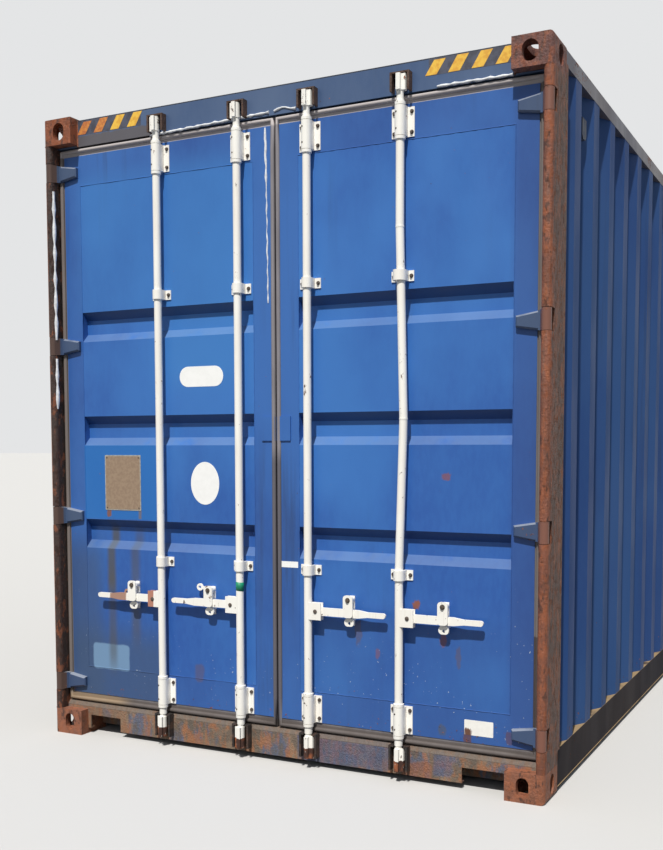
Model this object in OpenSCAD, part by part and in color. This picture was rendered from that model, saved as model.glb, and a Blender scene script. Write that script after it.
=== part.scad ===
// Forty foot high cube dry freight container with two hinged doors at one end.
// X runs across the container, Y along it from the door end to the blind end, Z up.
// The origin is on the ground, in the middle of the base.

/* [Overall size] */
// Length over the corner castings
length = 12192; // [9000:1:14000]
// Width over the corner castings
width = 2438; // [2350:1:2600]
// Height over the corner castings
height = 2896; // [2700:1:3000]

/* [Corner castings] */
// Size of a casting across the container
casting_x = 162; // [150:1:175]
// Size of a casting along the container
casting_y = 178; // [165:1:190]
// Height of a casting
casting_z = 118; // [110:1:130]
// Wall of a casting
casting_wall = 28; // [20:1:30]
// Radius of the casting's upright edges
casting_edge_r = 20; // [10:1:24]
// Radius of the casting's level edges at its bottom or top face
casting_rim_r = 15; // [6:1:18]
// Width of the twistlock slot
lock_slot_w = 63.5; // [55:0.5:70]
// Length of the twistlock slot, end to end
lock_slot_l = 124.5; // [110:0.5:130]
// Twistlock slot centre to the outer side of the casting
lock_slot_in_x = 89.5; // [84:0.5:95]
// Twistlock slot centre to the outer end of the casting
lock_slot_in_y = 103.5; // [95:0.5:110]
// Width of the side and end slots
lash_slot_w = 51; // [40:1:56]
// Width of the side and end slots in the top castings
lash_top_w = 64; // [50:1:66]
// Height of the side and end slots
lash_slot_h = 79.5; // [65:0.5:85]

/* [Posts] */
// Width of a door post, seen from the door end
post_w = 40; // [34:1:50]
// Depth of a door post along the container
post_d = 206; // [185:1:240]
// Plate of the posts
post_t = 6; // [4:0.5:8]
// Width of a blind end post across the container
blind_post_w = 90; // [70:1:110]
// Radius of the blind end posts' outer edge
blind_post_r = 25; // [12:1:34]

/* [Side rails] */
// Rails' outer face to the castings' outer face
rail_inset = 6; // [3:1:12]
// Top side rail tube, height and width
top_rail = 60; // [50:1:80]
// Wall of the top side rail
top_rail_t = 3; // [2:0.5:5]
// Underside of the bottom side rail above the ground
bottom_rail_z = 16; // [12:1:30]
// Height of the bottom side rail
bottom_rail_h = 156; // [140:1:175]
// Upper flange of the bottom side rail
bottom_rail_upper = 48; // [40:1:60]
// Lower flange of the bottom side rail
bottom_rail_lower = 30; // [24:1:40]
// Lip that the lower flange has outside the web
bottom_rail_lip = 4; // [1:0.5:5]
// Plate of the bottom side rail
bottom_rail_t = 4.5; // [3:0.5:6]

/* [Corrugated walls] */
// Sheet of the walls
wall_t = 2; // [1.5:0.1:4]
// Side wall crest to the castings' outer face
wall_inset = 7; // [6:1:12]
// Depth of the side wall corrugation
wave_d = 36; // [25:1:45]
// Flat at the bottom of a side wall corrugation
wave_recess = 70; // [50:1:90]
// Run of a side wall corrugation's slope
wave_slope = 70; // [50:1:90]
// Pitch of the side wall corrugation
wave_pitch = 301; // [260:1:340]
// Depth of the blind end corrugation
end_wave_d = 45.6; // [30:0.1:50]
// Flat at the bottom of a blind end corrugation
end_wave_recess = 104; // [70:1:120]
// Run of a blind end corrugation's slope
end_wave_slope = 18; // [10:1:30]
// Pitch of the blind end corrugation
end_wave_pitch = 250; // [220:1:300]
// Least flat margin of a corrugated wall at each end
wave_margin = 40; // [20:1:60]

/* [Roof] */
// Roof crest below the top of the castings
roof_drop = 6; // [4:1:14]
// Sheet of the roof
roof_t = 2; // [1.5:0.1:4]
// Height of the roof's pressed ribs
roof_rib_h = 20; // [12:1:28]
// Flat on top of a roof rib
roof_rib_top = 91; // [70:1:110]
// Run of a roof rib's slope
roof_rib_slope = 14; // [8:0.5:20]
// Pitch of the roof ribs, fitted to a whole number
roof_rib_pitch = 209; // [190:1:260]
// Plain margin of the roof beside the rails
roof_margin = 95; // [60:1:150]

/* [Floor] */
// Thickness of the floor boards
floor_t = 28; // [24:1:32]
// Height of a cross member
cross_h = 121; // [100:1:121]
// Flange of a cross member
cross_w = 45; // [35:1:60]
// Plate of a cross member
cross_t = 4; // [3:0.5:6]
// Pitch of the cross members, fitted to a whole number
cross_pitch = 305; // [250:1:400]
// Length of the gooseneck tunnel
tunnel_l = 3300; // [2600:1:3500]
// Clear width of the gooseneck tunnel
tunnel_w = 1029; // [900:1:1130]
// Clear height of the gooseneck tunnel
tunnel_h = 120; // [100:1:125]
// Plate of the gooseneck tunnel
tunnel_t = 4; // [3:0.5:6]

/* [Door end frame] */
// Face of header and sill behind the castings' end face
face_in = 50; // [47:1:60]
// Underside of the header below the top of the castings
header_drop = 125; // [119:1:150]
// Depth of the header along the container
header_d = 110; // [80:1:125]
// Front edge of the sill's top above the ground
sill_front_z = 132; // [124:1:140]
// Gasket seat on the sill above the ground
sill_seat_z = 150; // [142:1:160]
// Underside of the sill above the ground
sill_bottom_z = 26; // [12:1:40]
// Depth of the sill along the container
sill_d = 110; // [90:1:125]
// Width of the pocket in the sill near each casting
sill_pocket_w = 178; // [140:1:220]
// Width of the sill's leg between pocket and casting
sill_leg_w = 17; // [10:1:30]
// Top of the pocket above the ground
sill_pocket_z = 91; // [70:1:100]
// Plate of header and sill
frame_t = 6; // [4:0.5:8]
// Blind end top rail, height
blind_header_h = 60; // [50:1:90]
// Blind end rails, depth along the container
blind_rail_d = 60; // [50:1:90]

/* [Door leaves] */
// Outer face of the leaf behind the castings' end face
leaf_in = 62; // [58:1:70]
// Thickness of the leaf's frame
leaf_t = 50; // [42:1:50]
// Leaf's outer edge to the post
leaf_side_gap = 28; // [24:1:34]
// Leaf's free edge to the middle of the doorway
leaf_mid_gap = 18; // [14:1:24]
// Leaf's top edge to the header
leaf_top_gap = 38; // [30:1:46]
// Leaf's bottom edge above the gasket seat of the sill
leaf_bottom_gap = 44; // [36:1:50]
// Width of the stiles
stile_w = 93; // [80:1:110]
// Height of the leaf's top rail
leaf_top_h = 138; // [110:1:160]
// Height of the leaf's bottom rail
leaf_bottom_h = 132; // [110:1:160]
// Wall of the leaf's frame members
leaf_wall = 3; // [2:0.5:5]
// Sheet of the leaf's panel
panel_t = 2; // [1.5:0.1:4]
// Number of pressed grooves in a leaf
groove_count = 3; // [1:1:4]
// Pitch of the grooves
groove_pitch = 486; // [400:1:520]
// Depth of a groove
groove_d = 36; // [20:1:42]
// Flat at the bottom of a groove
groove_flat = 65; // [30:1:80]
// Height of a groove's slope
groove_slope = 36; // [30:1:60]
// Middle groove above the middle of the panel
groove_shift = -6; // [-60:1:60]
// Clearance of the gasket to post, header, sill and the other leaf
gasket_clear = 5; // [4:0.5:8]
// Thickness of the gasket's lips, front to back
gasket_t = 34; // [20:1:40]
// Width of the plate over the gap between the leaves, each half
gap_plate_w = 66; // [50:1:90]
// Height of that plate
gap_plate_h = 104; // [80:1:140]
// Thickness of that plate
gap_plate_t = 6; // [4:1:10]
// Middle of that plate above the ground
gap_plate_z = 1457; // [1200:1:1700]

/* [Hinges] */
// Number of hinges on a leaf
hinge_count = 4; // [2:1:5]
// Lowest hinge above the ground
hinge_first = 250; // [220:1:300]
// Highest hinge below the top of the castings
hinge_last = 240; // [230:1:300]
// Radius of a hinge pin
hinge_pin_r = 10; // [6:0.5:12]
// Running clearance of the pin in its knuckle
pin_clear = 0.05; // [0.02:0.01:0.1]
// Radius of a knuckle
knuckle_r = 19; // [15:0.5:20]
// Height of a knuckle
knuckle_h = 84; // [50:1:100]
// Gap between a knuckle and the lugs above and below
knuckle_gap = 2; // [1:0.5:5]
// Depth of the recess that the knuckle turns in
hinge_recess_d = 58; // [54:1:75]
// Thickness of the lug plates above and below a knuckle
lug_t = 14; // [8:1:25]
// Length of a hinge blade from the pin
blade_l = 130; // [100:1:160]
// Height of a blade's tip
blade_tip_h = 44; // [30:1:60]
// Height of a blade at the knuckle
blade_root_h = 80; // [60:1:84]
// Bevel along a blade's upper and lower edge
blade_bevel = 7; // [3:1:8]
// Face of a blade in front of the leaf
blade_t = 20; // [12:1:20]

/* [Lock bars] */
// Bars' axis behind the castings' end face
bar_in = 28; // [26:0.5:30]
// Radius of a bar
bar_r = 17; // [14:0.5:17]
// Outer bars from the middle of the container
bar_outer_x = 594; // [500:1:650]
// Inner bars from the middle of the container
bar_inner_x = 171; // [150:1:220]
// Radius of the collars at the bearings
collar_r = 22; // [18:0.5:25]
// Height of a collar
collar_h = 12; // [8:1:18]
// Radius of the bar's necks at the cams
neck_r = 14.5; // [11:0.5:16]
// Underside of the lower cams above the ground
cam_low_z = 47; // [30:1:60]
// Height of a lower cam
cam_low_h = 94; // [70:1:100]
// Height of an upper cam
cam_high_h = 62; // [40:1:70]
// Top of the upper cams below the top of the castings
cam_high_drop = 58; // [50:1:75]
// Reach of a cam's claw from the bar's axis
claw_r = 27; // [20:1:28]
// Clearance between a claw and the keeper's cheeks
keeper_clear = 6; // [5:1:10]
// Thickness of a keeper's cheek
keeper_t = 9; // [8:1:16]
// Thickness of a keeper's top plate
keeper_top_t = 6; // [4:1:10]
// Clearance of a bar's neck in the lower keepers' top plate
keeper_slot_clear = 5; // [5:0.5:7]
// Front of a keeper behind the castings' end face
keeper_in = 18; // [5:1:20]
// Height of a bar's neck above its lower cam
neck_h = 12; // [10:1:14]
// Gap between a collar and its bearing
collar_gap = 2; // [1:0.5:3]
// Swelling of the bowed bar over its bends
bend_swell = 1; // [0.8:0.1:1.2]
// How far the outer right bar is bowed sideways
bow = 18; // [0:1:20]

/* [Bar brackets] */
// Height of the end bearings
bearing_h = 116; // [90:1:130]
// Middle of the lower bearings above the ground
bearing_low_z = 255; // [245:1:280]
// Middle of the upper bearings below the top of the castings
bearing_high_drop = 235; // [230:1:260]
// Height of the middle guides
guide_h = 42; // [30:1:60]
// Middle of the lower guides above the ground
guide_low_z = 856; // [800:1:900]
// Middle of the upper guides above the ground
guide_high_z = 2060; // [1900:1:2150]
// Wall of the brackets round a bar
bracket_wall = 5; // [3:0.5:7]
// Width of a bracket over its flanges
bracket_w = 98; // [80:1:120]
// Thickness of a bracket's flange
flange_t = 5; // [3:0.5:8]

/* [Handles] */
// Rivet of a handle above the ground
handle_z = 684; // [620:1:740]
// Rivet of a handle from the bar's axis
rivet_x = 42; // [36:1:50]
// Radius of the rivet
rivet_r = 6; // [4:0.5:8]
// Width of the hub's cheek plates from the bar's axis
hub_x = 68; // [60:1:80]
// Height of the hub's cheek plates
hub_h = 73; // [60:1:90]
// Thickness of each cheek plate of the hub
hub_t = 6; // [4:0.5:8]
// Thickness of a handle
handle_t = 12; // [8:1:14]
// Length of a handle from its rivet
handle_l = 322; // [280:1:360]
// Height of a handle at its root
handle_root_h = 34; // [26:1:40]
// Height of a handle at its tip
handle_tip_h = 22; // [16:1:28]
// Retainers of the left leaf from their handle's rivet
retainer_left_x = 118; // [110:1:150]
// Retainers of the right leaf from their handle's rivet
retainer_right_x = 154; // [110:1:180]
// Width of a retainer and of the hasp on the handle
retainer_w = 44; // [34:1:56]
// Top of the hasp above the handle's rivet
retainer_up = 77; // [70:1:95]
// Bottom of a retainer below the handle's rivet
retainer_down = 55; // [48:1:65]
// Clearance of a handle above its seat
seat_gap = 5; // [5:0.5:8]
// Radius of the seal holes
seal_r = 7; // [4:0.5:9]
// Pivot of a catch above the handle's rivet
catch_up = 57; // [50:1:66]
// Length of a catch from its pivot to its eye
catch_l = 60; // [40:1:62]
// Thickness of a catch
catch_t = 8; // [5:1:10]

/* [Vents] */
// Height of a vent box
vent_h = 84; // [60:1:120]
// Depth of a vent box
vent_d = 22; // [12:1:30]
// Middle of a vent below the top of the castings
vent_drop = 210; // [170:1:300]

/* [Hidden] */
$fn = 48;

half_l = length / 2;
half_w = width / 2;

// Paint colours
blue = "royalblue";
rust = "sienna";
cream = "ivory";
grey = "slategray";
wood = "burlywood";

// Depth of the blind end posts, flush with the castings
blind_post_d = casting_y;

// Floor and underframe heights
bottom_rail_top = bottom_rail_z + bottom_rail_h;
floor_top = bottom_rail_top - 2;
floor_bottom = floor_top - floor_t;
rail_x = half_w - rail_inset;
crest_x = half_w - wall_inset;
top_rail_top = height - roof_drop;
top_rail_bottom = top_rail_top - top_rail;

// Door opening
post_in_x = half_w - post_w;
header_z = height - header_drop;
leaf_out_x = post_in_x - leaf_side_gap;
leaf_in_x = leaf_mid_gap;
leaf_bottom = sill_seat_z + leaf_bottom_gap;
leaf_top = header_z - leaf_top_gap;
panel_low = leaf_bottom + leaf_bottom_h;
panel_high = leaf_top - leaf_top_h;
panel_mid = (panel_low + panel_high) / 2 + groove_shift;

// Hinges: the pin stands in the middle of the post's round nose
pin_x = half_w - post_w / 2;
pin_in = post_w / 2;
hinge_zs = [for (i = [0 : hinge_count - 1])
  hinge_first + i * (height - hinge_last - hinge_first) / (hinge_count - 1)];
hinge_cut_h = knuckle_h + 2 * knuckle_gap;

// Lock gear
bar_xs = [-bar_outer_x, -bar_inner_x, bar_inner_x, bar_outer_x];
bearing_high_z = height - bearing_high_drop;
bearing_zs = [bearing_low_z, bearing_high_z];
guide_zs = [guide_low_z, guide_high_z];
cam_high_top = height - cam_high_drop;
cam_high_z = cam_high_top - cam_high_h;
cam_r = bar_r;
cheek_in_x = claw_r + keeper_clear;
handle_in = bar_in - handle_t / 2 - 2;
hub_gap = 1;
hasp_t = 8;
catch_in = handle_in + handle_t + 5;

// Heights along the bowed bar with its share of the bow there
bow_path = [[2250, 0], [1490, 1], [880, 0]];
guide_slack = 1;
bowed_guide_r = bar_r + 0.25 * bow + guide_slack;

// Copies the children to both sides of the container
module both_sides() {
  children();
  mirror([1, 0, 0]) children();
}

// Copies the children to both ends of the container
module both_ends() {
  children();
  mirror([0, 1, 0]) children();
}

// Moves the children so that Y counts from the door end's face
module from_door_end() {
  translate([0, -half_l, 0]) children();
}

// Extrudes an outline in Y and Z along X
module along_x(from, to) {
  translate([from, 0, 0]) rotate([90, 0, 90]) linear_extrude(to - from) children();
}

// Extrudes an outline in X and Z along Y
module along_y(from, to) {
  translate([0, to, 0]) rotate([90, 0, 0]) linear_extrude(to - from) children();
}

// Slot outline with round ends, long side on the second axis
module slot(w, l) {
  hull_l = l - w;
  square([w, hull_l], center = true);
  translate([0, hull_l / 2]) circle(d = w);
  translate([0, -hull_l / 2]) circle(d = w);
}

// Rectangle with its four corners rounded
module round_rect(x0, y0, x1, y1, r) {
  translate([x0 + r, y0]) square([x1 - x0 - 2 * r, y1 - y0]);
  translate([x0, y0 + r]) square([x1 - x0, y1 - y0 - 2 * r]);
  for (x = [x0 + r, x1 - r], y = [y0 + r, y1 - r]) translate([x, y]) circle(r = r);
}

// Number of crests that fit a run between two flat margins
function wave_count(run, pitch, recess) = floor((run + recess - 2 * wave_margin) / pitch);

// Trapezoidal wave as a list of points, its crests centred on the run
function wave_points(run, pitch, recess, slope, depth) =
  let (count = wave_count(run, pitch, recess), margin = (run + recess - count * pitch) / 2)
  [for (i = [0 : count - 1]) each [
    [margin + i * pitch, 0],
    [margin + i * pitch + slope, depth],
    [margin + (i + 1) * pitch - recess - slope, depth],
    [margin + (i + 1) * pitch - recess, 0]
  ]];

// Closed outline of a corrugated sheet of the given thickness and total run
function sheet_outline(run, pitch, recess, slope, depth, t) =
  let (points = wave_points(run, pitch, recess, slope, depth), last = len(points) - 1)
  concat(
    [[0, 0]], points, [[run, 0], [run, -t]],
    [for (i = [last : -1 : 0]) [points[i][0] + (i % 4 < 2 ? 0.4 : -0.4) * t, points[i][1] - t]],
    [[0, -t]]
  );

// Rectangle from the origin with its corner at the origin rounded
module rounded_at_origin(x, y, r) {
  translate([0, r]) square([x, y - r]);
  translate([r, 0]) square([x - r, y]);
  translate([r, r]) circle(r = r);
}

// One corner casting, its outer corner at the origin, reaching inwards along X, Y and Z
module casting(side_slot_w) {
  difference() {
    intersection() {
      linear_extrude(casting_z) rounded_at_origin(casting_x, casting_y, casting_edge_r);
      along_y(-1, casting_y + 1) rounded_at_origin(casting_x, casting_z, casting_rim_r);
    }
    translate([casting_wall, casting_wall, casting_wall])
      cube([casting_x - 1.5 * casting_wall, casting_y - 1.5 * casting_wall, casting_z - 1.5 * casting_wall]);
    translate([lock_slot_in_x, lock_slot_in_y, -1])
      linear_extrude(casting_wall + 2) slot(lock_slot_w, lock_slot_l);
    translate([lock_slot_in_x, 0, casting_z / 2])
      along_y(-1, casting_wall + 1) slot(side_slot_w, lash_slot_h);
    translate([0, lock_slot_in_y, casting_z / 2])
      along_x(-1, casting_wall + 1) slot(side_slot_w, lash_slot_h);
  }
}

// The four castings of the end at negative Y
module castings_of_one_end() {
  both_sides() {
    translate([-half_w, -half_l, 0]) casting(lash_slot_w);
    translate([-half_w, -half_l, height]) mirror([0, 0, 1]) casting(lash_top_w);
  }
}

module corner_castings_door_end() {
  color(rust) castings_of_one_end();
}

module corner_castings_blind_end() {
  color(rust) mirror([0, 1, 0]) castings_of_one_end();
}

// Outline of a door post in X and Y, with a round nose, smaller all round by the given amount
module door_post_outline(less) {
  nose_r = post_w / 2 - less;
  translate([pin_x - nose_r, pin_in]) square([2 * nose_r, post_d - less - pin_in]);
  translate([pin_x, pin_in]) circle(r = nose_r);
}

// Right door post: a folded plate tube with hinge recesses and solid lugs, notched for the castings
module door_post() {
  from_door_end() difference() {
    union() {
      translate([0, 0, casting_z]) linear_extrude(top_rail_bottom - casting_z) difference() {
        door_post_outline(0);
        door_post_outline(post_t);
      }
      for (z = hinge_zs) translate([0, 0, z - hinge_cut_h / 2 - lug_t])
        linear_extrude(hinge_cut_h + 2 * lug_t) intersection() {
          door_post_outline(post_t / 2);
          translate([post_in_x, 0]) square([post_w, hinge_recess_d + post_t]);
        }
    }
    translate([post_in_x - 1, -1, height - casting_z]) cube([post_w + 2, casting_y + 1, casting_z]);
    translate([post_in_x - 1, casting_y, casting_z - 1])
      cube([post_w + 2, post_d, bottom_rail_top - casting_z + 1]);
    for (z = hinge_zs) {
      translate([post_in_x - 1, -1, z - hinge_cut_h / 2])
        cube([post_w + 2, hinge_recess_d + 1, hinge_cut_h]);
      translate([pin_x, pin_in, z - hinge_cut_h / 2 - lug_t - 1])
        cylinder(r = hinge_pin_r, h = hinge_cut_h + 2 * lug_t + 2);
    }
  }
}

module door_end_posts() {
  color(rust) both_sides() door_post();
}

module hinge_pins() {
  color(rust) both_sides() from_door_end() for (z = hinge_zs)
    translate([pin_x, pin_in, z - hinge_cut_h / 2 - lug_t])
      cylinder(r = hinge_pin_r, h = hinge_cut_h + 2 * lug_t);
}

// Outline of a blind end post in X and Y, counted from the corner, smaller by the given amount
module blind_post_outline(less) {
  r = blind_post_r - less;
  translate([less, less + r]) square([blind_post_w - 2 * less, blind_post_d - 2 * less - r]);
  translate([less + r, less]) square([blind_post_w - 2 * less - r, blind_post_d - 2 * less]);
  translate([less + r, less + r]) circle(r = r);
}

module blind_end_posts() {
  color(blue) both_sides() translate([-half_w, half_l, casting_z]) mirror([0, 1, 0])
    linear_extrude(height - 2 * casting_z) difference() {
      blind_post_outline(0);
      blind_post_outline(post_t);
    }
}

module door_header() {
  casting_in_x = half_w - casting_x;
  under = height - casting_z - header_z;
  color(blue) from_door_end() {
    along_x(-casting_in_x, casting_in_x) difference() {
      polygon([
        [face_in, header_z], [face_in, height - roof_drop], [face_in + header_d, height - roof_drop],
        [face_in + header_d, header_z]
      ]);
      translate([face_in + frame_t, header_z + frame_t])
        square([header_d - 2 * frame_t, height - roof_drop - header_z - 2 * frame_t]);
    }
    along_x(-post_in_x, post_in_x)
      translate([face_in, header_z]) square([header_d, min(under, frame_t)]);
  }
}

// Outline of the sill in Y and Z: front web, sloped top, gasket seat, threshold and back web
module sill_outline() {
  seat_y = leaf_in + 2;
  step_y = leaf_in + leaf_t + 6;
  back_y = face_in + sill_d;
  polygon([
    [face_in, sill_bottom_z], [face_in, sill_front_z], [seat_y, sill_seat_z], [step_y, sill_seat_z],
    [step_y + 4, floor_top], [back_y, floor_top], [back_y, sill_bottom_z],
    [back_y - frame_t, sill_bottom_z], [back_y - frame_t, floor_top - frame_t],
    [step_y + 4 + frame_t / 2, floor_top - frame_t], [step_y + frame_t / 2, sill_seat_z - frame_t],
    [seat_y + frame_t / 2, sill_seat_z - frame_t], [face_in + frame_t, sill_front_z - frame_t / 2],
    [face_in + frame_t, sill_bottom_z + frame_t], [face_in + 4 * frame_t, sill_bottom_z + frame_t],
    [face_in + 4 * frame_t, sill_bottom_z]
  ]);
}

module door_sill() {
  casting_in_x = half_w - casting_x;
  pocket_x = casting_in_x - sill_leg_w - sill_pocket_w;
  color(blue) from_door_end() difference() {
    along_x(-post_in_x, post_in_x) sill_outline();
    both_sides() {
      translate([pocket_x, 0, sill_bottom_z - 1])
        cube([sill_pocket_w, face_in + sill_d - 2 * frame_t, sill_pocket_z - sill_bottom_z + 1]);
      translate([casting_in_x, 0, sill_bottom_z - 1])
        cube([casting_x, casting_y, casting_z - sill_bottom_z + 1]);
    }
  }
}

// Keeper of a cam on the face of header or sill: two cheeks with an open front and a top plate.
// The plate is slotted for the bar's neck where the bar passes through it.
module keeper(low, high, slotted) {
  outer_x = cheek_in_x + keeper_t;
  difference() {
    translate([-outer_x, keeper_in, low]) cube([2 * outer_x, face_in - keeper_in, high - low]);
    translate([-cheek_in_x, keeper_in - 1, low - 1])
      cube([2 * cheek_in_x, face_in - keeper_in + 2, high - low + 1 - keeper_top_t]);
    if (slotted) {
      translate([0, bar_in, low]) cylinder(r = neck_r + keeper_slot_clear, h = high - low + 1);
      translate([-neck_r - keeper_slot_clear, keeper_in - 1, low])
        cube([2 * (neck_r + keeper_slot_clear), bar_in - keeper_in + 1, high - low + 1]);
    }
  }
}

module cam_keepers() {
  gap = 5;
  color(rust) from_door_end() for (x = bar_xs) translate([x, 0, 0]) {
    keeper(cam_low_z, cam_low_z + cam_low_h + gap + keeper_top_t, true);
    keeper(cam_high_z, cam_high_top + gap + keeper_top_t, false);
  }
}

module blind_end_header() {
  casting_in_x = half_w - casting_x;
  y1 = half_l - rail_inset;
  color(blue) along_x(-casting_in_x, casting_in_x) difference() {
    translate([y1 - blind_rail_d, top_rail_top - blind_header_h]) square([blind_rail_d, blind_header_h]);
    translate([y1 - blind_rail_d + top_rail_t, top_rail_top - blind_header_h + top_rail_t])
      square([blind_rail_d - 2 * top_rail_t, blind_header_h - 2 * top_rail_t]);
  }
}

module blind_end_sill() {
  reach = half_w - blind_post_w;
  y1 = half_l - rail_inset;
  color(blue) difference() {
    along_x(-reach, reach) difference() {
      translate([y1 - blind_rail_d, bottom_rail_z]) square([blind_rail_d, bottom_rail_h]);
      translate([y1 - blind_rail_d + frame_t, bottom_rail_z + frame_t])
        square([blind_rail_d - 2 * frame_t, bottom_rail_h - 2 * frame_t]);
    }
    translate([-tunnel_w / 2 - tunnel_t, y1 - blind_rail_d - 1, 0])
      cube([tunnel_w + 2 * tunnel_t, blind_rail_d + 2, tunnel_h + tunnel_t]);
    both_sides() translate([half_w - casting_x, y1 - blind_rail_d - 1, 0])
      cube([casting_x, blind_rail_d + 2, casting_z]);
  }
}

module top_side_rails() {
  run = half_l - casting_y;
  color(blue) both_sides() along_y(-run, run) difference() {
    translate([rail_x - top_rail, top_rail_bottom]) square(top_rail);
    translate([rail_x - top_rail + top_rail_t, top_rail_bottom + top_rail_t])
      square(top_rail - 2 * top_rail_t);
  }
}

module bottom_side_rails() {
  run = half_l - casting_y;
  web_x = rail_x;
  t = bottom_rail_t;
  color(grey) both_sides() along_y(-run, run) {
    translate([web_x - t, bottom_rail_z]) square([t, bottom_rail_h]);
    translate([web_x - bottom_rail_upper, bottom_rail_top - t]) square([bottom_rail_upper, t]);
    translate([web_x + bottom_rail_lip - bottom_rail_lower, bottom_rail_z])
      square([bottom_rail_lower, t]);
  }
}

// Right side wall, corrugated sheet between the posts and between the rails
module side_wall() {
  run = length - post_d - blind_post_d;
  translate([crest_x - wave_d, post_d - half_l, bottom_rail_top])
    linear_extrude(top_rail_bottom - bottom_rail_top) mirror([1, -1, 0])
      polygon(sheet_outline(run, wave_pitch, wave_recess, wave_slope, wave_d, wall_t));
}

module side_wall_right() {
  color(blue) side_wall();
}

module side_wall_left() {
  color(blue) mirror([1, 0, 0]) side_wall();
}

module blind_end_wall() {
  run = width - 2 * blind_post_w;
  y = half_l - rail_inset - end_wave_d - 1;
  color(blue) difference() {
    translate([-run / 2, y, bottom_rail_top])
      linear_extrude(top_rail_top - blind_header_h - bottom_rail_top)
        polygon(sheet_outline(run, end_wave_pitch, end_wave_recess, end_wave_slope, end_wave_d, wall_t));
    both_sides() translate([half_w - casting_x, half_l - casting_y, height - casting_z])
      cube([casting_x, casting_y, casting_z]);
  }
}

// Roof ribs as one solid: a toothed strip along the roof cut to length with sloped ends
module roof_ribs(grow, run, count) {
  pitch = run / count;
  half = rail_x - top_rail - roof_margin;
  z = top_rail_top - roof_rib_h;
  intersection() {
    along_x(-half - roof_rib_slope, half + roof_rib_slope)
      translate([-run / 2, z]) for (i = [0 : count - 1]) polygon([
        [(i + 0.5) * pitch - roof_rib_top / 2 - roof_rib_slope - grow, -roof_t],
        [(i + 0.5) * pitch - roof_rib_top / 2 - grow, roof_rib_h + grow],
        [(i + 0.5) * pitch + roof_rib_top / 2 + grow, roof_rib_h + grow],
        [(i + 0.5) * pitch + roof_rib_top / 2 + roof_rib_slope + grow, -roof_t]
      ]);
    along_y(-run / 2, run / 2) translate([0, z]) polygon([
      [-half - roof_rib_slope - grow, -roof_t], [-half - grow, roof_rib_h + grow],
      [half + grow, roof_rib_h + grow], [half + roof_rib_slope + grow, -roof_t]
    ]);
  }
}

module roof_panel() {
  from = -half_l + face_in + header_d;
  to = half_l - rail_inset - blind_rail_d;
  run = to - from;
  count = round(run / roof_rib_pitch);
  wide = rail_x - top_rail;
  color(blue) difference() {
    translate([0, (from + to) / 2, 0]) difference() {
      union() {
        translate([-wide, -run / 2, top_rail_top - roof_rib_h - roof_t]) cube([2 * wide, run, roof_t]);
        roof_ribs(0, run, count);
      }
      translate([0, 0, -roof_t]) roof_ribs(-roof_t / 2, run, count);
    }
    both_ends() both_sides() translate([half_w - casting_x, half_l - casting_y, height - casting_z])
      cube([casting_x, casting_y, casting_z]);
  }
}

module floor() {
  from = -half_l + face_in + sill_d;
  to = half_l - rail_inset - blind_rail_d;
  wide = rail_x - bottom_rail_upper - 1;
  color(wood) difference() {
    translate([-wide, from, floor_bottom]) cube([2 * wide, to - from, floor_t]);
    both_sides() translate([half_w - blind_post_w, half_l - blind_post_d, floor_bottom - 1])
      cube([blind_post_w, blind_post_d, floor_t + 2]);
  }
}

// C section of a cross member in Y and Z, its web at the origin
module cross_outline() {
  square([cross_t, cross_h]);
  square([cross_w, cross_t]);
  translate([0, cross_h - cross_t]) square([cross_w, cross_t]);
}

module cross_members() {
  reach = rail_x - bottom_rail_t;
  first = -half_l + face_in + sill_d + 60;
  tunnel_y = half_l - rail_inset - blind_rail_d - tunnel_l;
  last = half_l - casting_y - cross_w - 10;
  plain = max(1, round((tunnel_y - 80 - first) / cross_pitch));
  split = max(1, round((last - tunnel_y - 20) / cross_pitch));
  z = floor_bottom - cross_h;
  color(grey) {
    for (i = [0 : plain]) translate([0, first + i * (tunnel_y - 80 - first) / plain, z])
      along_x(-reach, reach) cross_outline();
    both_sides() for (i = [0 : split])
      translate([0, tunnel_y + 20 + i * (last - tunnel_y - 20) / split, z])
        along_x(tunnel_w / 2 + tunnel_t, reach) cross_outline();
  }
}

module gooseneck_tunnel() {
  to = half_l - rail_inset - blind_rail_d;
  from = to - tunnel_l;
  low = floor_bottom - cross_h;
  color(grey) along_y(from, to) {
    both_sides() translate([tunnel_w / 2, low]) square([tunnel_t, floor_bottom - low]);
    translate([-tunnel_w / 2, tunnel_h]) square([tunnel_w, tunnel_t]);
  }
}

// Vent boxes in the second and last but one recess of each side wall
module side_vents() {
  run = length - post_d - blind_post_d;
  count = wave_count(run, wave_pitch, wave_recess);
  vent_w = wave_recess - 4;
  chamfer = 16;
  color(grey) both_sides() for (side = [-1, 1])
    translate([crest_x - wave_d, (post_d - blind_post_d) / 2 + side * (count / 2 - 1) * wave_pitch,
      height - vent_drop])
      along_x(0, vent_d) polygon([
        [-vent_w / 2, chamfer - vent_h / 2], [chamfer - vent_w / 2, -vent_h / 2],
        [vent_w / 2 - chamfer, -vent_h / 2], [vent_w / 2, chamfer - vent_h / 2],
        [vent_w / 2, vent_h / 2], [-vent_w / 2, vent_h / 2]
      ]);
}

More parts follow.
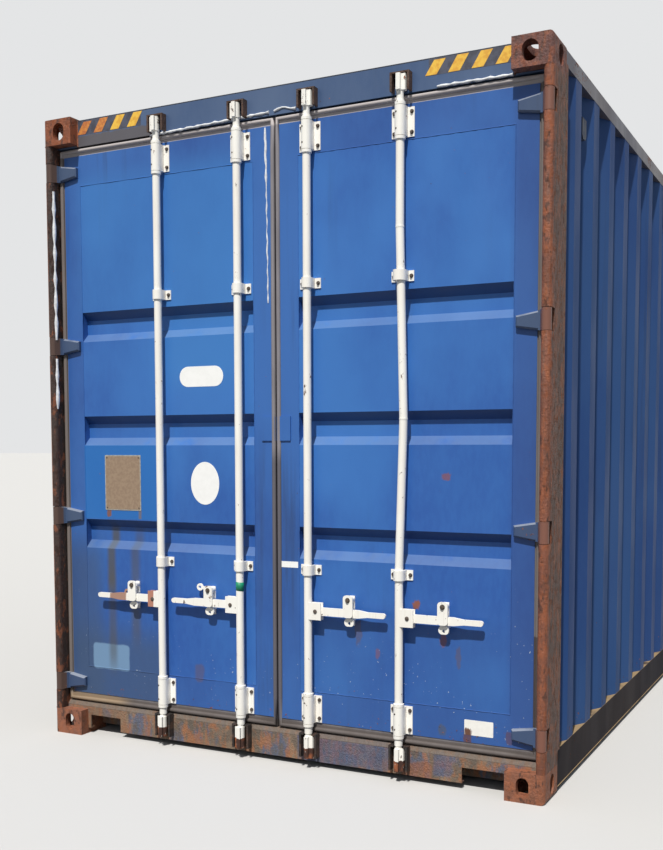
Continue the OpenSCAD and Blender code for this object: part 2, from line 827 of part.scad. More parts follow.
// Right leaf frame: two tube stiles, two channel rails and the plate half over the middle gap
module leaf_frame() {
  from_door_end() {
    for (x = [leaf_in_x, leaf_out_x - stile_w])
      translate([x, leaf_in, leaf_bottom]) linear_extrude(leaf_top - leaf_bottom) difference() {
        square([stile_w, leaf_t]);
        translate([leaf_wall, leaf_wall]) square([stile_w - 2 * leaf_wall, leaf_t - 2 * leaf_wall]);
      }
    for (span = [[leaf_bottom, panel_low], [panel_high, leaf_top]])
      along_x(leaf_in_x + stile_w, leaf_out_x - stile_w) difference() {
        translate([leaf_in, span[0]]) square([leaf_t, span[1] - span[0]]);
        translate([leaf_in + leaf_wall, span[0] + leaf_wall])
          square([leaf_t, span[1] - span[0] - 2 * leaf_wall]);
      }
    translate([gasket_clear, leaf_in - gap_plate_t, gap_plate_z - gap_plate_h / 2])
      cube([gap_plate_w, gap_plate_t, gap_plate_h]);
  }
}

// Heights of the grooves' middles
function groove_z(i) = panel_mid + (i - (groove_count - 1) / 2) * groove_pitch;

// Face line of the panel in Y and Z, from bottom to top
function panel_line() = concat(
  [[0, panel_low]],
  [for (i = [0 : groove_count - 1]) each [
    [0, groove_z(i) - groove_flat / 2 - groove_slope],
    [groove_d, groove_z(i) - groove_flat / 2],
    [groove_d, groove_z(i) + groove_flat / 2],
    [0, groove_z(i) + groove_flat / 2 + groove_slope]
  ]],
  [[0, panel_high]]
);

module leaf_panel() {
  line = panel_line();
  from_door_end() along_x(leaf_in_x + stile_w, leaf_out_x - stile_w) translate([leaf_in, 0])
    polygon(concat(line, [for (i = [len(line) - 1 : -1 : 0]) [line[i][0] + panel_t, line[i][1]]]));
}

// Rubber seal round a leaf, just clear of what it seals against
module leaf_gasket() {
  x0 = gasket_clear;
  x1 = post_in_x - gasket_clear - 2;
  z0 = sill_seat_z + gasket_clear;
  z1 = header_z - gasket_clear;
  from_door_end() translate([0, leaf_in + 3, 0]) difference() {
    translate([x0, 0, z0]) cube([x1 - x0, gasket_t, z1 - z0]);
    translate([leaf_in_x, -1, leaf_bottom])
      cube([leaf_out_x - leaf_in_x, gasket_t + 2, leaf_top - leaf_bottom]);
  }
}

// Plan of a hinge arm and blade in X and Y, the pin at the origin, the leaf towards negative X
module blade_plan() {
  back = leaf_in - pin_in;
  front = back - blade_t;
  circle(r = knuckle_r);
  polygon([
    [0, -12], [-17, -8], [-32, front], [6 - blade_l, front], [-blade_l, front + 6],
    [-blade_l, back], [-25, back], [-25, back - 9], [0, knuckle_r]
  ]);
}

// Cutter for the bevel along a blade's upper edge
module blade_edge_cut() {
  rise = (blade_root_h - blade_tip_h) / 2;
  side = blade_bevel * sqrt(2);
  translate([-blade_l, leaf_in - pin_in - blade_t, blade_tip_h / 2])
    rotate([0, -atan2(rise, blade_l - knuckle_r - 1), 0]) rotate([45, 0, 0])
      translate([-blade_bevel, -side / 2, -side / 2]) cube([0.75 * blade_l, side, side]);
}

module hinge_blades() {
  from_door_end() for (z = hinge_zs) translate([pin_x, pin_in, z]) difference() {
    intersection() {
      translate([0, 0, -knuckle_h / 2]) linear_extrude(knuckle_h) blade_plan();
      along_y(-50, 80) polygon([
        [knuckle_r + 1, -knuckle_h / 2], [knuckle_r + 1, knuckle_h / 2], [-knuckle_r - 1, knuckle_h / 2],
        [-knuckle_r - 1, blade_root_h / 2], [-blade_l, blade_tip_h / 2],
        [-blade_l, -blade_tip_h / 2], [-knuckle_r - 1, -blade_root_h / 2],
        [-knuckle_r - 1, -knuckle_h / 2]
      ]);
    }
    blade_edge_cut();
    mirror([0, 0, 1]) blade_edge_cut();
    translate([0, 0, -knuckle_h]) cylinder(r = hinge_pin_r + pin_clear, h = 2 * knuckle_h);
  }
}

// Bracket round a bar: flanges on the leaf, cheeks and a round front, with a bore for the bar
module bracket(h, bore) {
  r = bore + bracket_wall;
  difference() {
    translate([0, 0, -h / 2]) linear_extrude(h) difference() {
      union() {
        circle(r = r);
        translate([-r, 0]) square([2 * r, leaf_in - bar_in]);
        translate([-bracket_w / 2, leaf_in - bar_in - flange_t]) square([bracket_w, flange_t]);
      }
      circle(r = bore);
    }
  }
}

// Brackets of the bars with the given indices
module brackets(indices) {
  from_door_end() for (i = indices) {
    for (z = bearing_zs) translate([bar_xs[i], bar_in, z]) bracket(bearing_h, bar_r + pin_clear);
    translate([bar_xs[i], bar_in, guide_low_z]) bracket(guide_h, bar_r + guide_slack);
    translate([bar_xs[i], bar_in, guide_high_z])
      bracket(guide_h, i == 3 ? bowed_guide_r : bar_r + guide_slack);
  }
}

// Retainer of a handle, at the handle's height: base plate, seat, eye below it and the catch's pin
module retainer() {
  base = leaf_in - flange_t;
  eye_in = handle_in + handle_t / 2;
  eye_t = 8;
  seat_top = -handle_root_h / 2 - seat_gap;
  half = retainer_w / 2;
  translate([-half / 2, base, -retainer_down]) cube([half, flange_t, retainer_down + retainer_up - 6]);
  translate([4 - half, eye_in + eye_t, seat_top - eye_t])
    cube([2 * half - 8, base - eye_in - eye_t, eye_t]);
  difference() {
    along_y(eye_in, eye_in + eye_t) round_rect(-half, -retainer_down, half, seat_top, 15);
    translate([0, 0, (seat_top - eye_t - retainer_down) / 2]) along_y(0, base) circle(r = seal_r);
  }
  translate([0, 0, catch_up]) {
    along_y(catch_in - 1, base) circle(r = rivet_r);
    along_y(catch_in + catch_t + 1, base) circle(r = 2 * rivet_r);
  }
}

// Side that a bar's handle points to, and the retainer's distance from the handle's rivet
function side_of(i) = bar_xs[i] > 0 ? 1 : -1;
function retainer_x(i) = side_of(i) > 0 ? retainer_right_x : retainer_left_x;

module retainers(indices) {
  from_door_end() for (i = indices)
    translate([bar_xs[i] + side_of(i) * (rivet_x + retainer_x(i)), 0, handle_z]) retainer();
}

module door_frame_right() {
  color(blue) leaf_frame();
}

module door_frame_left() {
  color(blue) mirror([1, 0, 0]) leaf_frame();
}

module door_panel_right() {
  color(blue) leaf_panel();
}

module door_panel_left() {
  color(blue) mirror([1, 0, 0]) leaf_panel();
}

module door_gasket_right() {
  color(grey) leaf_gasket();
}

module door_gasket_left() {
  color(grey) mirror([1, 0, 0]) leaf_gasket();
}

module hinge_blades_right() {
  color(grey) hinge_blades();
}

module hinge_blades_left() {
  color(grey) mirror([1, 0, 0]) hinge_blades();
}

module bar_brackets_right() {
  color(cream) brackets([2, 3]);
}

module bar_brackets_left() {
  color(cream) brackets([0, 1]);
}

module handle_retainers_right() {
  color(cream) retainers([2, 3]);
}

module handle_retainers_left() {
  color(cream) retainers([0, 1]);
}

// Cam at an end of a bar, with one claw to the handle's side and one to the front
module cam(h) {
  linear_extrude(h) {
    circle(r = cam_r);
    intersection() {
      circle(r = claw_r);
      union() {
        translate([0, -11]) square([claw_r, 22]);
        translate([-9, -claw_r]) square([18, claw_r]);
      }
    }
  }
}

// Bar between two heights along a bowed path, a slight swelling over each bend
module bowed_bar(low, high) {
  points = concat([[high, 0]], bow_path, [[low, 0]]);
  over = bend_swell;
  for (i = [0 : len(points) - 2]) {
    dx = bow * (points[i + 1][1] - points[i][1]);
    dz = points[i + 1][0] - points[i][0];
    run = sqrt(dx * dx + dz * dz);
    first = i == 0 ? 0 : over;
    last = i == len(points) - 2 ? 0 : over;
    translate([bow * points[i][1], 0, points[i][0]]) rotate([0, atan2(dx, dz), 0])
      translate([0, 0, -first]) cylinder(r = bar_r, h = run + first + last);
    if (i > 0) translate([bow * points[i][1], 0, points[i][0] - 3 * over])
      cylinder(r = bar_r + over, h = 6 * over);
  }
}

// Lock bar whose handle points towards positive X, on its own axis
module lock_bar(bowed) {
  low = cam_low_z + cam_low_h;
  high = cam_high_z;
  translate([0, 0, cam_low_z]) cam(cam_low_h);
  translate([0, 0, cam_high_z]) cam(cam_high_h);
  translate([0, 0, low]) cylinder(r = neck_r, h = neck_h);
  translate([0, 0, high - 3 * neck_h]) cylinder(r = neck_r, h = 3 * neck_h);
  if (bowed) bowed_bar(low + neck_h, high - 3 * neck_h);
  else translate([0, 0, low + neck_h]) cylinder(r = bar_r, h = high - low - 4 * neck_h);
  for (z = bearing_zs, side = [-1, 1])
    translate([0, 0, z + side * (bearing_h / 2 + collar_gap + collar_h / 2)])
      cylinder(r = collar_r, h = collar_h, center = true);
  handle_hub();
}

// Two cheek plates on the bar that hold the handle's eye, with the rivet between them
module handle_hub() {
  y0 = handle_in - hub_gap - hub_t - bar_in;
  y1 = handle_in + handle_t + hub_gap - bar_in;
  translate([0, 0, handle_z - hub_h / 2]) {
    translate([0, y0, 0]) cube([hub_x, hub_t, hub_h]);
    translate([0, y1, 0]) cube([hub_x, hub_t, hub_h]);
  }
  translate([rivet_x, 0, handle_z]) along_y(y0 - 2, y1 + hub_t + 2) circle(r = rivet_r);
}

// Bar with the given index at its place
module bar_at(i) {
  color(cream) from_door_end() translate([bar_xs[i], bar_in, 0]) {
    if (side_of(i) > 0) lock_bar(i == 3);
    else mirror([1, 0, 0]) lock_bar(false);
  }
}

module lock_bar_1() {
  bar_at(0);
}

module lock_bar_2() {
  bar_at(1);
}

module lock_bar_3() {
  bar_at(2);
}

module lock_bar_4() {
  bar_at(3);
}

// Handle that points towards positive X, its rivet at the origin of X and Z, the hasp at hasp_x
module handle(hasp_x) {
  eye_r = handle_root_h / 2;
  tip_r = handle_tip_h / 2;
  waist_x = retainer_right_x + retainer_w;
  difference() {
    union() {
      along_y(handle_in, handle_in + handle_t) {
        circle(r = eye_r);
        polygon([
          [0, -eye_r], [waist_x, -eye_r], [waist_x + retainer_w, -tip_r], [handle_l - tip_r, -tip_r],
          [handle_l - tip_r, tip_r], [waist_x + retainer_w, tip_r], [waist_x, eye_r], [0, eye_r]
        ]);
        translate([handle_l - tip_r, 0]) circle(r = tip_r);
      }
      along_y(handle_in - hasp_t, handle_in)
        round_rect(hasp_x - retainer_w / 2, -eye_r, hasp_x + retainer_w / 2, retainer_up, 14);
    }
    along_y(-1, leaf_in) circle(r = rivet_r + pin_clear);
    translate([hasp_x, 0, catch_up]) along_y(-1, leaf_in) circle(r = seal_r);
  }
}

module handle_at(i) {
  color(cream) from_door_end() translate([bar_xs[i] + side_of(i) * rivet_x, 0, handle_z]) {
    if (side_of(i) > 0) handle(retainer_x(i));
    else mirror([1, 0, 0]) handle(retainer_x(i));
  }
}

module lock_handle_1() {
  handle_at(0);
}

module lock_handle_2() {
  handle_at(1);
}

module lock_handle_3() {
  handle_at(2);
}

module lock_handle_4() {
  handle_at(3);
}

// Catch lever with an eye, its pivot at the origin of X and Z, turned by an angle from hanging down
module catch_lever(turn) {
  rotate([0, turn, 0]) difference() {
    along_y(catch_in, catch_in + catch_t) {
      circle(r = 2 * rivet_r);
      translate([-rivet_r, -catch_l]) square([2 * rivet_r, catch_l]);
      translate([0, -catch_l]) circle(r = 16);
    }
    along_y(-1, leaf_in) circle(r = rivet_r + pin_clear);
    translate([0, 0, -catch_l]) along_y(-1, leaf_in) circle(r = seal_r);
  }
}

// Angles of the catches as they were left, from hanging down towards negative X
catch_turns = [50, 99, 0, 0];

module catch_at(i) {
  x = bar_xs[i] + side_of(i) * (rivet_x + retainer_x(i));
  color(cream) from_door_end() translate([x, 0, handle_z + catch_up]) catch_lever(catch_turns[i]);
}

module lock_catch_1() {
  catch_at(0);
}

module lock_catch_2() {
  catch_at(1);
}

module lock_catch_3() {
  catch_at(2);
}

module lock_catch_4() {
  catch_at(3);
}

corner_castings_door_end();
corner_castings_blind_end();
door_end_posts();
blind_end_posts();
door_header();
door_sill();
cam_keepers();
hinge_pins();
blind_end_header();
blind_end_sill();
top_side_rails();
bottom_side_rails();
side_wall_left();
side_wall_right();
blind_end_wall();
roof_panel();
floor();
cross_members();
gooseneck_tunnel();
side_vents();
door_frame_left();
door_panel_left();
door_gasket_left();
hinge_blades_left();
bar_brackets_left();
handle_retainers_left();
door_frame_right();
door_panel_right();
door_gasket_right();
hinge_blades_right();
bar_brackets_right();
handle_retainers_right();
lock_bar_1();
lock_bar_2();
lock_bar_3();
lock_bar_4();
lock_handle_1();
lock_handle_2();
lock_handle_3();
lock_handle_4();
lock_catch_1();
lock_catch_2();
lock_catch_3();
lock_catch_4();
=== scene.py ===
"""Dresses the forty foot container: paint, rust, markings, bolts, seals and beads.

Sizes are in millimetres in the classes and become metres where a mesh is made.
X runs across the container, Y along it from the door end, Z up.
A depth is how far a place lies behind the end face of the door end castings.
"""

import logging
import math
from dataclasses import dataclass, field
from enum import Enum

import bmesh
import bpy
from mathutils import Matrix, Vector


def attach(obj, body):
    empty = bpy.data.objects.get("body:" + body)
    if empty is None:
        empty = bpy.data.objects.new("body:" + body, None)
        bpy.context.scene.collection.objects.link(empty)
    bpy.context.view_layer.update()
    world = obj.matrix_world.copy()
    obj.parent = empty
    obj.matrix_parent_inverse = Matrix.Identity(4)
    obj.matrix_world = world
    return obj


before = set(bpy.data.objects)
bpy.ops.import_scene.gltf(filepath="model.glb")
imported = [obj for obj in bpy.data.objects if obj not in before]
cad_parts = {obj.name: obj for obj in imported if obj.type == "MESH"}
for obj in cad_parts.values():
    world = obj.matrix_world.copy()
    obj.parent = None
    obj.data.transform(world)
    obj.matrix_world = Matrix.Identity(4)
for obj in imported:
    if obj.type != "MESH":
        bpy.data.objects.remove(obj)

LOG = logging.getLogger("container")

MM = 0.001
DOOR_END = -6096.0
Socket = bpy.types.NodeSocket
Value = float | Socket
Range = tuple[float, float]
Point = tuple[float, float, float]


class Axis(Enum):
    """Object coordinate that a mask is measured along."""

    X = "X"
    Y = "Y"
    Z = "Z"


class Body(Enum):
    """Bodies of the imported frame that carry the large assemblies."""

    FRAME = "body_frame"
    DOOR_LEFT = "door_left"
    DOOR_RIGHT = "door_right"


@dataclass(frozen=True)
class Tone:
    """A paint colour as it looks on a screen, 0 to 255."""

    red: int
    green: int
    blue: int

    def rgba(self) -> tuple[float, float, float, float]:
        """Linear colour for a shader socket.

        Returns:
            Red, green and blue from 0 to 1, and a full alpha.
        """
        linear = []
        for level in (self.red, self.green, self.blue):
            part = level / 255
            linear.append(part / 12.92 if part <= 0.04045 else ((part + 0.055) / 1.055) ** 2.4)
        return (linear[0], linear[1], linear[2], 1.0)


Colour = Tone | Socket


@dataclass(frozen=True)
class Stain:
    """A local patch of colour with soft, broken edges.

    The patch is an upright box on two axes; across is X on the doors and Y on the side walls.
    """

    tone: Tone
    across: Range
    up: Range
    soft: float = 20.0
    strength: float = 1.0
    broken: float = 0.5
    axis: Axis = Axis.X
    soft_up: float | None = None


class Graph:
    """Node tree of one material, with short methods for the nodes that the finishes use."""

    def __init__(self, name: str) -> None:
        """Makes the material with its shader and object coordinates.

        Args:
            name: Name of the material.
        """
        self.material = bpy.data.materials.new(name)
        self.material.use_nodes = True
        self.tree = self.material.node_tree
        self.tree.nodes.clear()
        output = self.node("ShaderNodeOutputMaterial")
        self.shader = self.node("ShaderNodeBsdfPrincipled")
        self.tree.links.new(self.shader.outputs[0], output.inputs[0])
        self.place = self.node("ShaderNodeTexCoord").outputs["Object"]
        split = self.node("ShaderNodeSeparateXYZ")
        self.put(split.inputs[0], self.place)
        self.axes = {axis: split.outputs[axis.value] for axis in Axis}

    def node(self, kind: str) -> bpy.types.Node:
        """Adds a node of the given kind."""
        return self.tree.nodes.new(kind)

    def put(self, target: Socket, value: object) -> None:
        """Links a socket to the target, or sets the target to a value.

        Args:
            target: Input socket.
            value: A socket, a Tone or a plain value.
        """
        if isinstance(value, Socket):
            self.tree.links.new(value, target)
        else:
            target.default_value = value.rgba() if isinstance(value, Tone) else value

    def math(self, operation: str, first: Value, second: Value) -> Socket:
        """Result of a Math node.

        Args:
            operation: What the node does with the two values.
            first: First value.
            second: Second value.

        Returns:
            The result.
        """
        node = self.node("ShaderNodeMath")
        node.operation = operation
        self.put(node.inputs[0], first)
        self.put(node.inputs[1], second)
        return node.outputs[0]

    def plus(self, first: Value, second: Value) -> Socket:
        """Sum of two values."""
        return self.math("ADD", first, second)

    def times(self, first: Value, second: Value) -> Socket:
        """Product of two values."""
        return self.math("MULTIPLY", first, second)

    def noise(
        self,
        size: float,
        detail: float = 4.0,
        upright: float = 1.0,
        shift: float = 0.0,
        rough: float = 0.55,
        along: float = 1.0,
    ) -> Socket:
        """Noise whose features are about size metres across.

        Args:
            size: Feature size in metres.
            detail: Octaves of finer noise.
            upright: Divides the feature size along Z, so that 0.1 makes it ten times as tall.
            shift: Moves the pattern, so that two finishes differ.
            rough: Strength of the finer octaves.
            along: Divides the feature size along Y.

        Returns:
            The noise factor, about 0.5 on average.
        """
        mapping = self.node("ShaderNodeMapping")
        self.put(mapping.inputs["Vector"], self.place)
        mapping.inputs["Location"].default_value = (shift, shift * 1.7, shift * 0.6)
        mapping.inputs["Scale"].default_value = (1.0, along, upright)
        node = self.node("ShaderNodeTexNoise")
        self.put(node.inputs["Vector"], mapping.outputs[0])
        node.inputs["Scale"].default_value = 1.0 / size
        node.inputs["Detail"].default_value = detail
        node.inputs["Roughness"].default_value = rough
        return node.outputs["Fac"]

    def ramp(
        self, value: Value, low: float, high: float, start: float = 0.0, end: float = 1.0
    ) -> Socket:
        """Smooth step of a value.

        Args:
            value: What the step is made from.
            low: Value at which the step begins.
            high: Value at which the step ends.
            start: Result below the step.
            end: Result above the step.

        Returns:
            The result, clamped between start and end.
        """
        node = self.node("ShaderNodeMapRange")
        node.interpolation_type = "SMOOTHSTEP"
        self.put(node.inputs["Value"], value)
        edges = {"From Min": low, "From Max": high, "To Min": start, "To Max": end}
        for name, edge in edges.items():
            node.inputs[name].default_value = edge
        return node.outputs["Result"]

    def mix(self, factor: Value, first: Colour, second: Colour) -> Socket:
        """Mixes two colours.

        Args:
            factor: Part of the second colour, 0 to 1.
            first: Colour at 0.
            second: Colour at 1.

        Returns:
            The mixed colour.
        """
        node = self.node("ShaderNodeMix")
        node.data_type = "RGBA"
        for number, value in ((0, factor), (6, first), (7, second)):
            self.put(node.inputs[number], value)
        return node.outputs[2]

    def band(self, axis: Axis, ends: Range, soft: float) -> Socket:
        """Mask that is one between two places in millimetres on an axis.

        Args:
            axis: Coordinate the band is measured on.
            ends: Lower and upper edge.
            soft: Width over which each edge fades outwards.

        Returns:
            The mask from 0 to 1.
        """
        low, high = ends
        rise = self.ramp(self.axes[axis], (low - soft) * MM, low * MM)
        fall = self.ramp(self.axes[axis], high * MM, (high + soft) * MM, 1.0, 0.0)
        return self.times(rise, fall)

    def facing(self, up: bool = True) -> Socket:
        """Mask by the way that the surface faces.

        Args:
            up: Whether the mask is one on faces that face up, or else on those that face down.

        Returns:
            The mask from 0 to 1.
        """
        node = self.node("ShaderNodeNewGeometry")
        split = self.node("ShaderNodeSeparateXYZ")
        self.put(split.inputs[0], node.outputs["True Normal"])
        if up:
            return self.ramp(split.outputs["Z"], 0.35, 0.9)
        return self.ramp(split.outputs["Z"], -0.6, -0.3, 1.0, 0.0)

    def bump(
        self, height: Socket, distance: float, strength: float, below: Socket | None = None
    ) -> Socket:
        """Bump from a height.

        Args:
            height: Height from 0 to 1.
            distance: Metres that a height of 1 stands for.
            strength: Strength of the effect.
            below: Another bump that this one lies on.

        Returns:
            The normal.
        """
        node = self.node("ShaderNodeBump")
        node.inputs["Distance"].default_value = distance
        node.inputs["Strength"].default_value = strength
        self.put(node.inputs["Height"], height)
        if below is not None:
            self.put(node.inputs["Normal"], below)
        return node.outputs[0]

    def stain(self, colour: Socket, stain: Stain) -> Socket:
        """Colour with a local stain over it.

        Args:
            colour: Colour below the stain.
            stain: The stain.

        Returns:
            The new colour.
        """
        across = self.band(stain.axis, stain.across, stain.soft)
        mask = self.times(across, self.band(Axis.Z, stain.up, stain.soft_up or stain.soft))
        if stain.broken > 0:
            size = 0.012 if stain.soft < 30 else stain.soft * 0.0013
            grain = self.noise(size, 5, 0.5, stain.across[0] * 0.01)
            wobble = self.times(self.math("SUBTRACT", grain, 0.5), 3.6 * stain.broken)
            shape = self.ramp(self.plus(mask, wobble), 0.26, 0.7)
            mask = self.times(shape, self.ramp(mask, 0.0, 0.25))
        return self.mix(self.times(mask, stain.strength), colour, stain.tone)

    def stained(self, colour: Socket, stains: tuple[Stain, ...]) -> Socket:
        """Colour with several stains over it, the last on top.

        Args:
            colour: Colour below the stains.
            stains: The stains.

        Returns:
            The new colour.
        """
        for stain in stains:
            colour = self.stain(colour, stain)
        return colour

    def surface(self, colour: Socket, rough: Value, normal: Socket) -> bpy.types.Material:
        """Gives the shader its colour, roughness and normal.

        Args:
            colour: Base colour.
            rough: Roughness.
            normal: Normal from the bumps.

        Returns:
            The finished material.
        """
        for name, value in (("Base Color", colour), ("Roughness", rough), ("Normal", normal)):
            self.put(self.shader.inputs[name], value)
        return self.material


RUST_ORANGE = Tone(158, 92, 58)
RUST_RED = Tone(126, 78, 60)
RUST_DARK = Tone(66, 42, 34)
GRIME = Tone(44, 42, 36)
SOIL = Tone(150, 128, 98)
FLECK = Tone(196, 204, 214)


@dataclass(frozen=True)
class PaintedSteel:
    """Weathered paint on steel sheet: fading, streaks, chips down to rust and local stains.

    Foot and flecks are the ranges of height over which extra chips and pale flecks fade out. Faces
    that face down take a painted shade, and faces that face up a tint that is partly dust, partly
    painted highlight.
    """

    name: str
    base: Tone
    faded: Tone
    streaks: float = 0.35
    chips: float = 0.25
    foot: Range | None = None
    dents: float = 0.5
    gloss: float = 0.36
    stains: tuple[Stain, ...] = ()
    dust_and_highlight_on_top: float = 0.0
    dust_and_highlight_tone: Tone = SOIL
    shine: float = 0.5
    under: float = 0.0
    shadow: Tone = Tone(16, 24, 60)
    flecks: Range | None = None

    def build(self) -> bpy.types.Material:
        """Makes the material.

        Returns:
            The finished material.
        """
        g = Graph(self.name)
        fade = g.ramp(g.noise(0.9, 4, 0.7, 3), 0.36, 0.66)
        colour = g.mix(fade, self.base, self.faded)
        fine = g.ramp(g.noise(0.02, 3, 0.4, 9), 0.35, 0.65)
        colour = g.mix(g.times(fine, 0.16), colour, self.faded)
        run = g.ramp(g.noise(0.07, 4, 0.05, 5, 0.62), 0.52, 0.76)
        patch = g.ramp(g.noise(0.5, 2, 0.5, 1), 0.4, 0.62)
        colour = g.mix(g.times(run, g.times(patch, self.streaks)), colour, GRIME)
        colour = g.stained(colour, self.stains)
        speck = g.noise(0.016, 6, 1, 2, 0.6)
        where = g.ramp(g.noise(0.35, 3, 0.8, 7), 0.45, 0.7, 0.0, self.chips)
        if self.foot is not None:
            low = g.ramp(g.axes[Axis.Z], self.foot[0] * MM, self.foot[1] * MM, 0.42, 0.0)
            where = g.plus(where, low)
        if self.flecks is not None:
            dots = g.ramp(g.noise(0.012, 2, 1, 12), 0.705, 0.74)
            zone = g.ramp(g.axes[Axis.Z], self.flecks[0] * MM, self.flecks[1] * MM, 1.0, 0.0)
            thin = g.ramp(g.noise(0.25, 2, 1, 15), 0.48, 0.6)
            colour = g.mix(g.times(dots, g.times(zone, thin)), colour, FLECK)
        rust = g.ramp(g.plus(speck, g.times(where, 0.28)), 0.725, 0.765)
        rust_tone = g.mix(g.ramp(g.noise(0.01, 3), 0.4, 0.6), RUST_DARK, RUST_ORANGE)
        colour = g.mix(g.times(rust, 0.85), colour, rust_tone)
        # Tint on faces that face up: dust, and on the hinge blades partly a painted highlight of
        # their lit top bevels.
        if self.dust_and_highlight_on_top > 0:
            top = g.times(g.facing(), self.dust_and_highlight_on_top)
            dust_and_highlight = g.times(top, g.ramp(g.noise(0.12, 5), 0.2, 0.5))
            colour = g.mix(dust_and_highlight, colour, self.dust_and_highlight_tone)
        # Painted shade: faces that face down are darkened towards the shadow tone, as if shade
        # fell on them.
        if self.under > 0:
            colour = g.mix(g.times(g.facing(up=False), self.under), colour, self.shadow)
        g.shader.inputs["Specular IOR Level"].default_value = self.shine
        dull = g.ramp(g.noise(0.2, 4, 0.3, 4), 0.3, 0.7, self.gloss, self.gloss + 0.18)
        waves = g.bump(g.noise(0.45, 2, 0.8, 6), 0.012, self.dents)
        skin = g.bump(g.noise(0.006, 3), 0.0004, 0.5, waves)
        rough = g.math("MAXIMUM", dull, g.times(rust, 0.9))
        return g.surface(colour, rough, g.bump(rust, 0.0012, 0.6, skin))


@dataclass(frozen=True)
class RustedSteel:
    """Heavily rusted steel with remains of paint in its hollows."""

    name: str
    remains: Tone
    kept: float = 0.3
    streaks: float = 0.4
    upright: float = 0.25
    stains: tuple[Stain, ...] = ()
    dark: Tone = RUST_DARK
    middle: Tone = RUST_RED
    light: Tone = RUST_ORANGE
    mottled: float = 0.75
    pocks: float = 0.5

    def build(self) -> bpy.types.Material:
        """Makes the material.

        Returns:
            The finished material.
        """
        g = Graph(self.name)
        broad = g.ramp(g.noise(0.12, 6, self.upright, 2), 0.36, 0.64)
        colour = g.mix(broad, self.dark, self.middle)
        crust = g.ramp(g.noise(0.02, 5, 0.6, 5), 0.5, 0.62)
        colour = g.mix(g.times(crust, 0.62), colour, self.light)
        paint = g.noise(0.09, 7, self.upright, 8, 0.62)
        left = g.ramp(paint, 0.56 - 0.16 * self.kept, 0.64 - 0.12 * self.kept)
        colour = g.mix(g.times(left, 0.8), colour, self.remains)
        run = g.ramp(g.noise(0.016, 4, 0.04, 1), 0.5, 0.62)
        colour = g.mix(g.times(run, self.streaks), colour, GRIME)
        mottle = g.noise(0.036, 6, max(0.3, self.upright), 11, 0.62)
        colour = g.mix(g.ramp(mottle, 0.5, 0.62, 0.0, self.mottled), colour, self.light)
        colour = g.mix(g.ramp(mottle, 0.38, 0.49, self.mottled, 0.0), colour, self.dark)
        colour = g.stained(colour, self.stains)
        pock = g.ramp(g.noise(0.024, 5, 0.5, 21, 0.62), 0.37, 0.46, self.pocks, 0.0)
        colour = g.mix(pock, colour, self.dark)
        glow = g.ramp(g.noise(0.028, 5, 0.5, 25, 0.62), 0.54, 0.64, 0.0, self.pocks)
        colour = g.mix(g.times(glow, 0.6), colour, self.light)
        pits = g.bump(g.noise(0.009, 6, 1, 3, 0.65), 0.006, 0.9)
        rough = g.ramp(crust, 0.0, 1.0, 0.62, 0.92)
        return g.surface(colour, rough, g.bump(left, 0.0008, 0.5, pits))


@dataclass(frozen=True)
class GearPaint:
    """Cream paint on the lock gear, worn through to rust in places and most at the cams.

    Each row of cams gives a range of heights and how much more rust it has.
    """

    name: str = "gear_paint"
    base: Tone = Tone(253, 251, 244)
    shade: Tone = Tone(249, 244, 235)
    drips: Tone = Tone(160, 138, 112)
    worn: float = 0.16
    cams: tuple[tuple[Range, float], ...] = (((20.0, 88.0), 1.7), ((2786.0, 2822.0), 0.5))
    stains: tuple[Stain, ...] = ()

    def build(self) -> bpy.types.Material:
        """Makes the material.

        Returns:
            The finished material.
        """
        g = Graph(self.name)
        colour = g.mix(g.ramp(g.noise(0.15, 5, 0.5), 0.38, 0.7), self.base, self.shade)
        run = g.ramp(g.noise(0.01, 3, 0.06, 4), 0.56, 0.75)
        colour = g.mix(g.times(run, 0.12), colour, self.drips)
        colour = g.stained(colour, self.stains)
        speck = g.noise(0.018, 6, 0.6, 6, 0.6)
        where = g.ramp(g.noise(0.25, 3, 1, 2), 0.42, 0.7, 0.0, self.worn)
        for heights, more in self.cams:
            where = g.plus(where, g.times(g.band(Axis.Z, heights, 10.0), more))
        rust = g.ramp(g.plus(speck, g.times(where, 0.2)), 0.66, 0.74)
        tone = g.mix(g.ramp(g.noise(0.03, 4), 0.45, 0.7), RUST_DARK, RUST_ORANGE)
        colour = g.mix(rust, colour, tone)
        skin = g.bump(g.noise(0.004, 3), 0.0005, 0.4)
        rough = g.ramp(rust, 0.0, 1.0, 0.42, 0.85)
        return g.surface(colour, rough, g.bump(rust, 0.0008, 0.6, skin))


@dataclass(frozen=True)
class PlainFinish:
    """A simple finish of two tones with grain: rubber, sealant, labels, tar coat."""

    name: str
    base: Tone
    shade: Tone
    grain: float = 0.03
    upright: float = 1.0
    rough: float = 0.6
    depth: float = 0.0005
    contrast: float = 0.12
    stains: tuple[Stain, ...] = ()

    def build(self) -> bpy.types.Material:
        """Makes the material.

        Returns:
            The finished material.
        """
        g = Graph(self.name)
        grain = g.noise(self.grain, 5, self.upright, 2)
        two = g.ramp(grain, 0.5 - self.contrast, 0.5 + self.contrast)
        colour = g.stained(g.mix(two, self.base, self.shade), self.stains)
        rough = g.ramp(grain, 0.3, 0.7, self.rough - 0.1, self.rough + 0.1)
        return g.surface(colour, rough, g.bump(grain, self.depth, 0.6))


